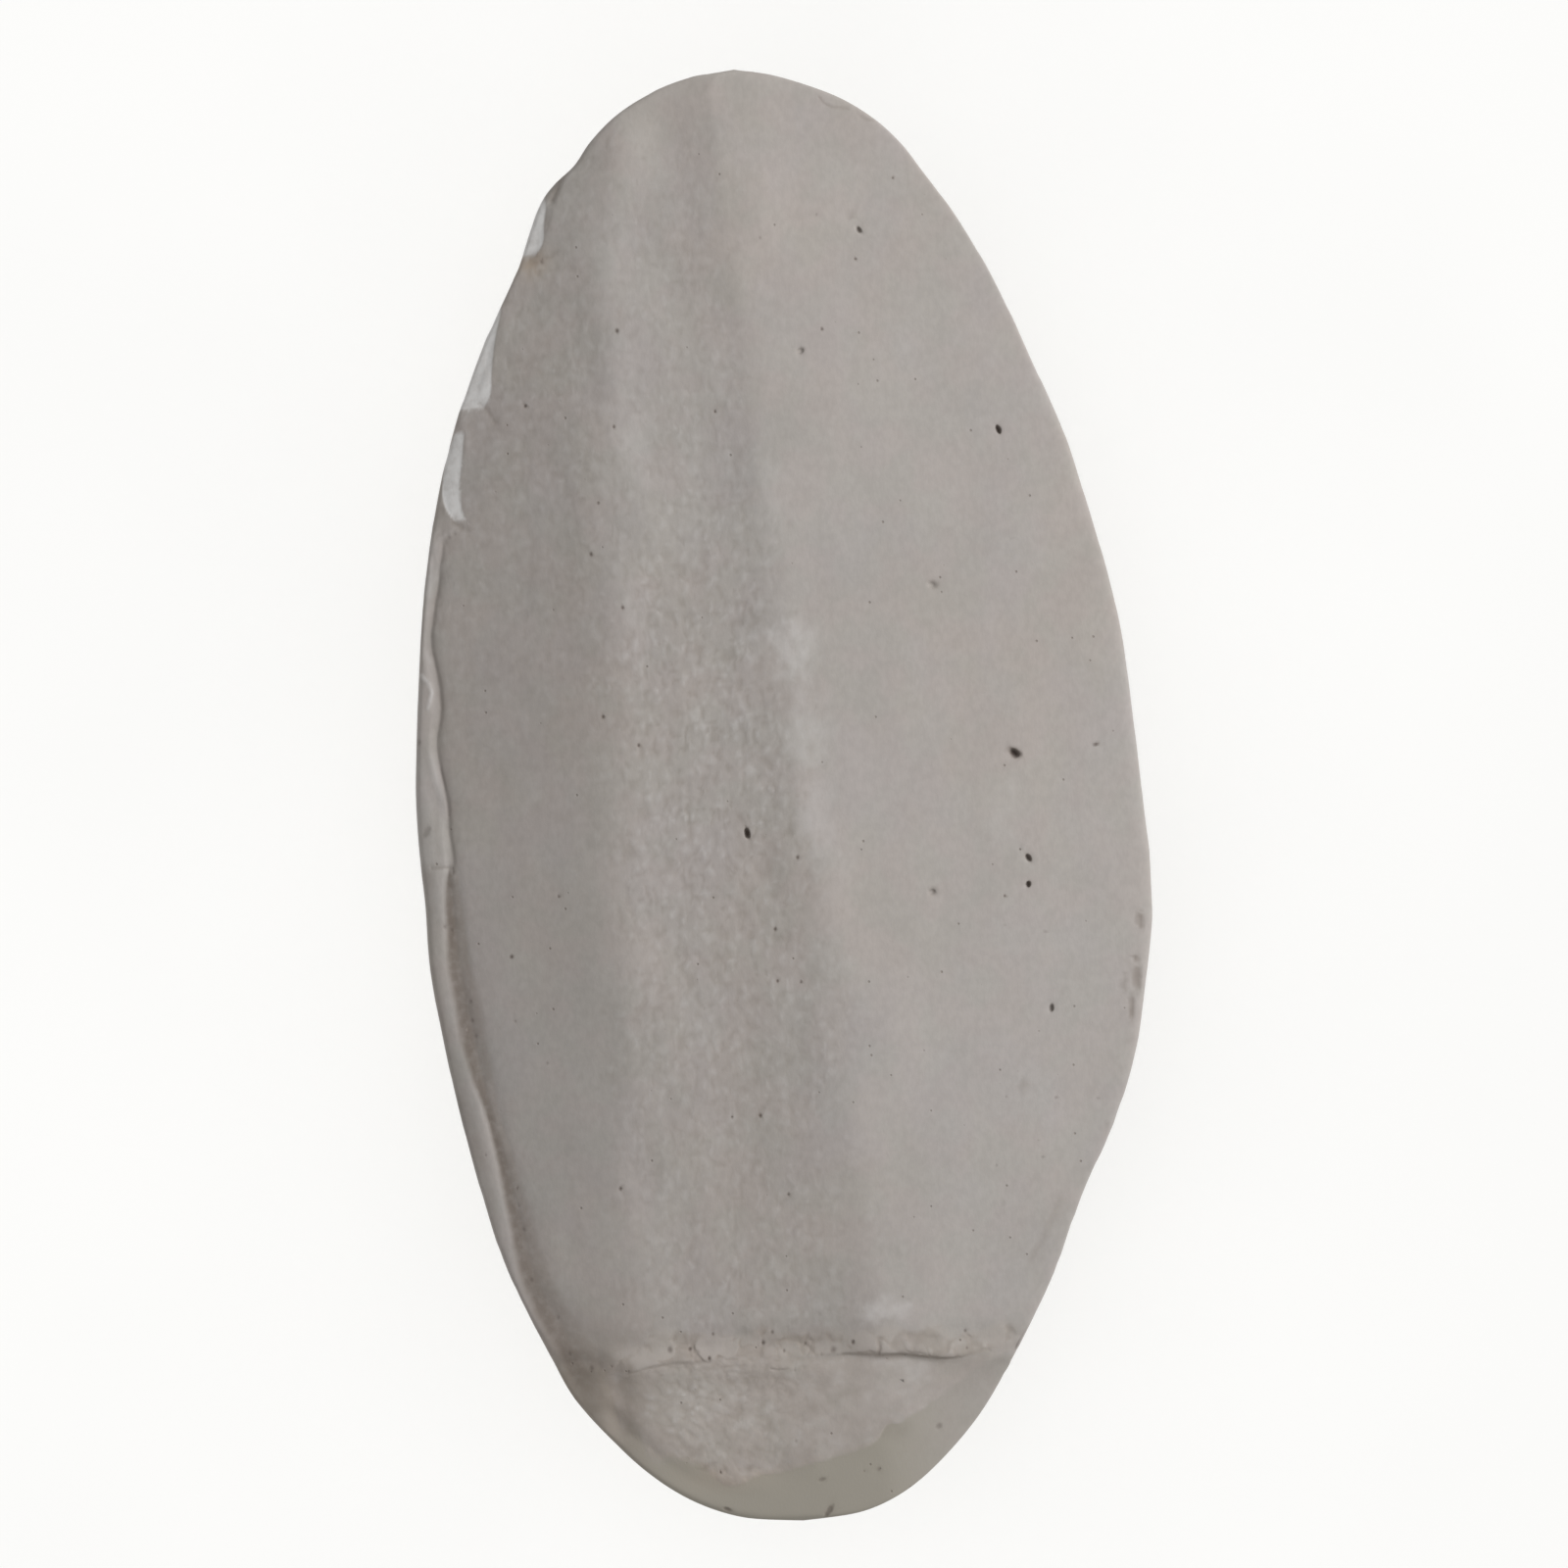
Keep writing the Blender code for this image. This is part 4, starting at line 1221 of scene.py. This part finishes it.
class FinishGraph:
    """The shader nodes of one material, joined by short calls."""

    def __init__(self, name: str) -> None:
        """Starts a material whose patterns are placed in millimetres on the piece."""
        self.material = bpy.data.materials.new(name)
        self.material.use_nodes = True
        self.tree = self.material.node_tree
        self.shader = self.tree.nodes["Principled BSDF"]
        scaled = self.tree.nodes.new("ShaderNodeMapping")
        scaled.inputs["Scale"].default_value = (1 / MM, 1 / MM, 1 / MM)
        coordinates = self.tree.nodes.new("ShaderNodeTexCoord")
        self.join(coordinates.outputs["Object"], scaled.inputs["Vector"])
        self.place = scaled.outputs["Vector"]

    def join(self, source: bpy.types.NodeSocket, target: bpy.types.NodeSocket) -> None:
        """Joins two sockets."""
        self.tree.links.new(source, target)

    def fill(self, target: bpy.types.NodeSocket, value: object) -> None:
        """Joins a socket to the target, or sets the target's own value."""
        if isinstance(value, bpy.types.NodeSocket):
            self.join(value, target)
        else:
            target.default_value = value

    def tone(self, tone: Tone) -> bpy.types.NodeSocket:
        """Reads the strength of a tone from the mesh."""
        node = self.tree.nodes.new("ShaderNodeAttribute")
        node.attribute_name = tone.value
        return node.outputs["Fac"]

    def noise(
        self, pitch: float, detail: float = 2.0, stretch: tuple[float, float, float] = (1, 1, 1)
    ) -> bpy.types.NodeSocket:
        """Adds soft noise.

        Args:
            pitch: Size of a lump, in millimetres.
            detail: How much finer noise is laid over it.
            stretch: How much longer the lumps are along each axis.

        Returns:
            The socket with values from 0 to 1.
        """
        mapping = self.tree.nodes.new("ShaderNodeMapping")
        mapping.inputs["Scale"].default_value = [1 / (pitch * share) for share in stretch]
        self.join(self.place, mapping.inputs["Vector"])
        node = self.tree.nodes.new("ShaderNodeTexNoise")
        node.inputs["Scale"].default_value = 1.0
        node.inputs["Detail"].default_value = detail
        self.join(mapping.outputs["Vector"], node.inputs["Vector"])
        return node.outputs["Fac"]

    def pores(self, pitch: float, radius: float, share: float) -> bpy.types.NodeSocket:
        """Adds scattered small round pores.

        Args:
            pitch: Size of the cells that may hold a pore, in millimetres.
            radius: Radius of a pore.
            share: Share of the cells that hold one.

        Returns:
            The socket with 1 in a pore and 0 elsewhere.
        """
        node = self.tree.nodes.new("ShaderNodeTexVoronoi")
        node.inputs["Scale"].default_value = 1 / pitch
        self.join(self.place, node.inputs["Vector"])
        split = self.tree.nodes.new("ShaderNodeSeparateColor")
        self.join(node.outputs["Color"], split.inputs["Color"])
        inside = self.run(node.outputs["Distance"], radius / pitch, 0.4 * radius / pitch)
        chosen = self.run(split.outputs["Red"], share + 0.01, share - 0.01)
        return self.work("MULTIPLY", inside, chosen)

    def run(
        self,
        value: bpy.types.NodeSocket,
        low: float,
        high: float,
        start: float = 0.0,
        end: float = 1.0,
    ) -> bpy.types.NodeSocket:
        """Runs a value softly between two results.

        Args:
            value: The socket to read.
            low: The value that gives start.
            high: The value that gives end.
            start: First result.
            end: Last result.

        Returns:
            The socket with the result.
        """
        node = self.tree.nodes.new("ShaderNodeMapRange")
        node.interpolation_type = "SMOOTHSTEP"
        self.join(value, node.inputs["Value"])
        node.inputs["From Min"].default_value = low
        node.inputs["From Max"].default_value = high
        node.inputs["To Min"].default_value = start
        node.inputs["To Max"].default_value = end
        return node.outputs["Result"]

    def work(self, operation: str, first: object, second: object) -> bpy.types.NodeSocket:
        """Joins two values by one sum.

        Args:
            operation: The sum, such as MULTIPLY.
            first: A socket or a number.
            second: A socket or a number.

        Returns:
            The socket with the result.
        """
        node = self.tree.nodes.new("ShaderNodeMath")
        node.operation = operation
        self.fill(node.inputs[0], first)
        self.fill(node.inputs[1], second)
        return node.outputs["Value"]

    def mix(
        self, share: object, first: object, second: object, blend: str = "MIX"
    ) -> bpy.types.NodeSocket:
        """Mixes two colours.

        Args:
            share: How much of the second, a socket or a number.
            first: A socket or a colour.
            second: A socket or a colour.
            blend: How they mix.

        Returns:
            The socket with the colour.
        """
        node = self.tree.nodes.new("ShaderNodeMix")
        node.data_type = "RGBA"
        node.blend_type = blend
        self.fill(node.inputs[0], share)
        self.fill(node.inputs[6], first)
        self.fill(node.inputs[7], second)
        return node.outputs[2]

    def bump(self, height: bpy.types.NodeSocket) -> None:
        """Bends the surface's normals by a height in millimetres."""
        node = self.tree.nodes.new("ShaderNodeBump")
        node.inputs["Strength"].default_value = 1.0
        node.inputs["Distance"].default_value = MM
        self.join(height, node.inputs["Height"])
        self.join(node.outputs["Normal"], self.shader.inputs["Normal"])


Colour = tuple[float, float, float, float]


@dataclass(frozen=True)
class ChalkyShell:
    """The dry, matte finish of the bone."""

    base: Colour = (0.374, 0.345, 0.325, 1.0)
    warm_cast: Colour = (0.388, 0.346, 0.316, 1.0)
    cool_cast: Colour = (0.362, 0.343, 0.332, 1.0)
    pink: Colour = (0.398, 0.345, 0.322, 1.0)
    green: Colour = (0.364, 0.350, 0.314, 1.0)
    lavender: Colour = (0.372, 0.345, 0.350, 1.0)
    band: Colour = (1.04, 1.046, 1.052, 1.0)
    # multiplied in as painted shade in the valleys of the relief
    valley_painted_shade: Colour = (0.82, 0.80, 0.775, 1.0)
    # brown of stains, also the painted shade beside the groove's thin line and on the ledge's step
    brown: Colour = (0.182, 0.150, 0.126, 1.0)
    # warm tan, also part of the painted shade on the ledge's rear-facing step
    warm: Colour = (0.405, 0.340, 0.282, 1.0)
    # pale chalk, also the painted highlight on the pebble crests
    pale: Colour = (0.648, 0.638, 0.634, 1.0)
    rim: Colour = (0.336, 0.311, 0.268, 1.0)
    underside: Colour = (0.545, 0.525, 0.490, 1.0)
    hole: Colour = (0.070, 0.050, 0.042, 1.0)
    roughness: tuple[float, float] = (0.72, 0.9)
    specular: float = 0.3
    grain_height: float = 0.012
    pore_layout: tuple[float, float, float] = (1.9, 0.17, 0.3)
    pore_brown: float = 0.55
    pore_depth: float = 0.05

    def colour(self, graph: FinishGraph) -> bpy.types.NodeSocket:
        """Lays the colours over each other.

        Args:
            graph: The material's nodes.

        Returns:
            The socket with the finished colour.
        """
        cast = graph.run(graph.noise(22.0, 2.0), 0.35, 0.65)
        colour = graph.mix(0.3, self.base, graph.mix(cast, self.warm_cast, self.cool_cast))
        mottle = graph.run(graph.noise(4.2, 1.5), 0.38, 0.62)
        colour = graph.mix(0.22, colour, graph.mix(mottle, self.pink, self.green))
        hazy = graph.run(graph.noise(7.0, 2.0, (1.0, 1.6, 1.0)), 0.45, 0.65, 0.0, 0.2)
        colour = graph.mix(hazy, colour, self.lavender)
        drift = graph.run(graph.noise(8.0, 3.0, (1.0, 1.7, 1.0)), 0.32, 0.68, 0.975, 1.025)
        colour = graph.mix(1.0, colour, drift, "MULTIPLY")
        grain = graph.run(graph.noise(0.7, 3.0, (0.8, 1.3, 1.0)), 0.3, 0.7, 0.965, 1.03)
        colour = graph.mix(1.0, colour, grain, "MULTIPLY")
        # the band's lighter tone, then the painted shade of the valleys
        for tone, filter_colour in ((Tone.BAND, self.band), (Tone.PAINTED_SHADE, self.valley_painted_shade)):
            filtered = graph.mix(1.0, colour, filter_colour, "MULTIPLY")
            colour = graph.mix(graph.tone(tone), colour, filtered)
        colour = graph.mix(graph.tone(Tone.RIM), colour, self.rim)
        for tone, ink in (
            (Tone.UNDERSIDE, self.underside),
            (Tone.WARM, self.warm),
            (Tone.PALE, self.pale),
            (Tone.BROWN, self.brown),
        ):
            cloud = graph.run(graph.noise(0.9, 3.0), 0.3, 0.6, 0.75, 1.0)
            colour = graph.mix(graph.work("MULTIPLY", graph.tone(tone), cloud), colour, ink)
        pores = graph.work("MULTIPLY", graph.pores(*self.pore_layout), self.pore_brown)
        colour = graph.mix(pores, colour, self.brown)
        return graph.mix(graph.tone(Tone.HOLE), colour, self.hole)

    def relief(self, graph: FinishGraph) -> bpy.types.NodeSocket:
        """Adds up the fine grain that is smaller than the mesh holds.

        Args:
            graph: The material's nodes.

        Returns:
            The socket with the height in millimetres.
        """
        grain = graph.work("MULTIPLY", graph.noise(0.3, 3.0, (0.8, 1.3, 1.0)), self.grain_height)
        pores = graph.work("MULTIPLY", graph.pores(*self.pore_layout), -self.pore_depth)
        return graph.work("ADD", grain, pores)

    def material(self) -> bpy.types.Material:
        """Makes the finish.

        Returns:
            The material.
        """
        graph = FinishGraph("chalky_shell_surface")
        graph.join(self.colour(graph), graph.shader.inputs["Base Color"])
        low, high = self.roughness
        graph.join(graph.run(graph.noise(1.5), 0.3, 0.7, low, high), graph.shader.inputs["Roughness"])
        graph.shader.inputs["Specular IOR Level"].default_value = self.specular
        graph.bump(self.relief(graph))
        return graph.material


@dataclass
class Cuttlebone:
    """The whole bone: one piece, carved from a refined copy of its solid."""

    levels: int = 3
    most_triangles: int = 192000
    fine_cuts: int = 1
    merge_gap: float = 1e-6
    quad_angle: float = math.radians(70.0)
    ledge_reach: float = 1.1

    def __post_init__(self) -> None:
        """Sets the features that shape and colour the bone."""
        self.edges = WornEdge()
        self.pebbling = PebbledBack()
        self.groove = MarginGroove()
        self.scars = FlakeScars()
        self.creases = Creases()
        self.ledge = BrokenLedge()
        self.tongue = ChalkTongue()
        self.marks = BackMarks()
        self.patches = ChalkPatches()
        self.growth = GrowthLines()

    def copied(self) -> bpy.types.Object:
        """Copies the solid, joins its loose triangles and pairs them into quads.

        Returns:
            The new piece.
        """
        piece = bpy.data.objects.new(PIECE_NAME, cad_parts[BONE_NODE].data.copy())
        bpy.context.scene.collection.objects.link(piece)
        piece.data.materials.clear()
        bpy.ops.object.select_all(action="DESELECT")
        bpy.context.view_layer.objects.active = piece
        piece.select_set(True)
        bpy.ops.mesh.customdata_custom_splitnormals_clear()
        bpy.ops.object.mode_set(mode="EDIT")
        bpy.ops.mesh.select_all(action="SELECT")
        bpy.ops.mesh.remove_doubles(threshold=self.merge_gap)
        bpy.ops.mesh.mark_sharp(clear=True)
        angle = self.quad_angle
        bpy.ops.mesh.tris_convert_to_quads(face_threshold=angle, shape_threshold=angle)
        bpy.ops.object.mode_set(mode="OBJECT")
        return piece

    def finish_modifier(self, piece: bpy.types.Object, kind: str, **settings: object) -> None:
        """Adds a modifier and applies it.

        Args:
            piece: The piece.
            kind: The modifier's type.
            **settings: Its settings.
        """
        modifier = piece.modifiers.new(kind.lower(), kind)
        for name, value in settings.items():
            setattr(modifier, name, value)
        bpy.ops.object.modifier_apply(modifier=modifier.name)

    def refine(self, piece: bpy.types.Object) -> None:
        """Divides the mesh all over, and once more at the marks and the ledge.

        Args:
            piece: The piece.
        """
        self.finish_modifier(piece, "SUBSURF", levels=self.levels, render_levels=self.levels)
        mesh = piece.data
        centres = np.empty(len(mesh.polygons) * 3)
        normals = np.empty(len(mesh.polygons) * 3)
        mesh.polygons.foreach_get("center", centres)
        mesh.polygons.foreach_get("normal", normals)
        faces = BoneSurface(centres.reshape(-1, 3) / MM, normals.reshape(-1, 3))
        chosen = self.marks.touched(faces.points, faces.normals)
        base = self.ledge.base[0] + self.ledge.base[1] * faces.x
        at_ledge = np.abs(faces.y - base) < self.ledge_reach
        at_ledge &= np.abs(faces.x) < self.ledge.half_length + 2.0
        chosen |= at_ledge & (faces.normals[:, 2] > 0)
        self.select_faces(piece, chosen)
        bpy.ops.object.mode_set(mode="EDIT")
        bpy.ops.mesh.subdivide(number_cuts=self.fine_cuts)
        bpy.ops.object.mode_set(mode="OBJECT")

    def select_faces(self, piece: bpy.types.Object, chosen: np.ndarray) -> None:
        """Selects only the chosen faces.

        Args:
            piece: The piece.
            chosen: True for each face to select.
        """
        mesh = piece.data
        bpy.context.tool_settings.mesh_select_mode = (False, False, True)
        mesh.vertices.foreach_set("select", np.zeros(len(mesh.vertices), bool))
        mesh.edges.foreach_set("select", np.zeros(len(mesh.edges), bool))
        mesh.polygons.foreach_set("select", chosen)
        log.info("%s: %d faces divided once more", piece.name, int(chosen.sum()))

    def carve(self, piece: bpy.types.Object) -> None:
        """Wears the outline, breaks the ledge, then raises and sinks all other relief.

        Args:
            piece: The piece.
        """
        bone = BoneSurface.of(piece)
        self.edges.shape(bone, Outline.of(bone))
        self.ledge.shape(bone)
        bone.store(piece)
        bone = BoneSurface.of(piece)
        outline = Outline.of(bone)
        height = self.pebbling.height_of(bone) * (1.0 - self.tongue.zone(bone, self.ledge))
        height = height + self.groove.height_of(bone)
        height = height + self.scars.height_of(bone, outline)
        height = height + self.creases.height_of(bone)
        height = height + self.ledge.height_of(bone)
        height = height + self.tongue.height_of(bone, self.ledge)
        height = height + self.marks.height_of(bone)
        height = height + self.growth.height_of(bone)
        bone.points += bone.normals * height[:, None]
        bone.store(piece)

    def thin_out(self, piece: bpy.types.Object) -> None:
        """Takes triangles away where the surface is plain, down to the most it may have.

        Args:
            piece: The piece.
        """
        count = sum(len(face.vertices) - 2 for face in piece.data.polygons)
        self.finish_modifier(piece, "DECIMATE", ratio=min(1.0, self.most_triangles / count))

    def keep_in_box(self, piece: bpy.types.Object) -> None:
        """Holds every point inside the box of the solid.

        Args:
            piece: The piece.
        """
        bone = BoneSurface.of(piece)
        low, high = (np.array(corner) / MM for corner in CAD_BOX)
        bone.points[:] = np.clip(bone.points, low, high)
        bone.store(piece)

    def store_tones(self, piece: bpy.types.Object) -> None:
        """Works out every tone on the finished mesh and stores it there.

        Args:
            piece: The piece.
        """
        bone = BoneSurface.of(piece)
        outline = Outline.of(bone)
        totals = {tone: np.zeros(len(bone.points)) for tone in Tone}
        for tones in (
            self.pebbling.tones(bone),
            self.groove.tones(bone),
            self.scars.tones(bone, outline),
            self.creases.tones(bone),
            self.ledge.tones(bone),
            self.tongue.tones(bone, self.ledge),
            self.marks.tones(bone),
            self.patches.tones(bone),
            self.growth.tones(bone),
        ):
            for tone, strength in tones.items():
                totals[tone] = np.maximum(totals[tone], strength)
        totals[Tone.RIM] *= 1.0 - totals[Tone.UNDERSIDE]
        for tone, strength in totals.items():
            layer = piece.data.attributes.new(tone.value, "FLOAT", "POINT")
            layer.data.foreach_set("value", np.clip(strength, 0.0, 1.0).astype(np.float32))

    def build(self) -> bpy.types.Object:
        """Makes the piece and dresses it.

        Returns:
            The finished piece.
        """
        piece = self.copied()
        self.refine(piece)
        self.carve(piece)
        self.thin_out(piece)
        self.keep_in_box(piece)
        self.store_tones(piece)
        bpy.ops.object.shade_smooth()
        piece.data.materials.append(ChalkyShell().material())
        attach(piece, "root")
        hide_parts(BONE_NODE)
        log.info("%s: %d faces", piece.name, len(piece.data.polygons))
        return piece


@dataclass(frozen=True)
class PaleBoard:
    """The matte, nearly white finish of the floor."""

    light: Colour = (0.90, 0.90, 0.895, 1.0)
    shade: Colour = (0.885, 0.885, 0.88, 1.0)
    roughness: float = 0.95

    def material(self) -> bpy.types.Material:
        """Makes the finish.

        Returns:
            The material.
        """
        graph = FinishGraph("pale_board")
        colour = graph.mix(graph.run(graph.noise(60.0), 0.3, 0.7), self.light, self.shade)
        graph.join(colour, graph.shader.inputs["Base Color"])
        graph.shader.inputs["Roughness"].default_value = self.roughness
        graph.shader.inputs["Specular IOR Level"].default_value = 0.1
        return graph.material


@dataclass
class StudioFloor:
    """The plain pale floor that the bone lies on."""

    radius: float = 4000.0
    corners: int = 96

    def build(self) -> bpy.types.Object:
        """Makes the floor, at the height that the bone rests on.

        Returns:
            The floor.
        """
        bpy.ops.object.select_all(action="DESELECT")
        bpy.ops.mesh.primitive_circle_add(
            vertices=self.corners, radius=self.radius * MM, fill_type="NGON", location=(0, 0, 0)
        )
        floor = bpy.context.object
        floor.name = "floor"
        floor.data.materials.append(PaleBoard().material())
        log.info("%s: laid", floor.name)
        return floor


@dataclass(frozen=True)
class Lamp:
    """A square soft light: where it stands as seen from the bone, its size and its power."""

    name: str
    heading: float
    height: float
    distance: float
    size: float
    power: float

    def build(self, lights_up: list[bpy.types.Object]) -> bpy.types.Object:
        """Sets the light up, turned to the bone.

        Args:
            lights_up: The objects that it shines on.

        Returns:
            The light.
        """
        data = bpy.data.lights.new(self.name, "AREA")
        data.size = self.size
        data.energy = self.power
        lamp = bpy.data.objects.new(self.name, data)
        heading, height = math.radians(self.heading), math.radians(self.height)
        flat = math.cos(height)
        away = Vector((math.cos(heading) * flat, math.sin(heading) * flat, math.sin(height)))
        lamp.location = away * self.distance
        lamp.rotation_euler = (-away).to_track_quat("-Z", "Y").to_euler()
        bpy.context.scene.collection.objects.link(lamp)
        shone_on = bpy.data.collections.new(self.name + "_shines_on")
        for target in lights_up:
            shone_on.objects.link(target)
        lamp.light_linking.receiver_collection = shone_on
        log.info("%s: set up", self.name)
        return lamp


@dataclass
class SoftStudio:
    """Soft even light, a broad lamp from the right for the bone and one above for the floor."""

    ambient: float = 0.43
    sky: Colour = (1.0, 0.992, 0.968, 1.0)
    bone_lamp: Lamp = Lamp("bone_lamp", 22.0, 36.0, 1.0, 0.45, 8.2)
    floor_lamp: Lamp = Lamp("floor_lamp", 0.0, 90.0, 1.6, 0.25, 17.0)

    def build(self, bone: bpy.types.Object, floor: bpy.types.Object) -> None:
        """Sets up the lights.

        Args:
            bone: The bone.
            floor: The floor.
        """
        world = bpy.data.worlds.new("soft_white")
        world.use_nodes = True
        sky = world.node_tree.nodes["Background"]
        sky.inputs["Color"].default_value = self.sky
        sky.inputs["Strength"].default_value = self.ambient
        bpy.context.scene.world = world
        self.bone_lamp.build([bone])
        self.floor_lamp.build([floor])
        bpy.context.scene.view_settings.view_transform = "Standard"


@dataclass
class OverheadCamera:
    """The camera straight above the bone, a little turned about its line of sight."""

    over: tuple[float, float] = (0.28, 1.21)
    sharp_at: float = 13.0
    frame_width: float = 161.95
    lens: float = 100.0
    sensor: float = 36.0
    turn: float = -2.64

    def build(self) -> bpy.types.Object:
        """Makes the camera and looks through it.

        Returns:
            The camera.
        """
        data = bpy.data.cameras.new("overhead")
        data.lens = self.lens
        data.sensor_width = self.sensor
        data.clip_start = 0.01
        data.clip_end = 20.0
        camera = bpy.data.objects.new("overhead", data)
        away = self.frame_width * self.lens / self.sensor
        camera.location = Vector((*self.over, self.sharp_at + away)) * MM
        camera.rotation_euler = (0.0, 0.0, math.radians(self.turn))
        bpy.context.scene.collection.objects.link(camera)
        bpy.context.scene.camera = camera
        log.info("%s: %.0f mm above the bone", camera.name, away)
        return camera


def main() -> None:
    """Builds the bone, the floor, the lights and the camera."""
    logging.basicConfig(level=logging.INFO)
    bone = Cuttlebone().build()
    floor = StudioFloor().build()
    SoftStudio().build(bone, floor)
    OverheadCamera().build()


if __name__ == "__main__":
    main()
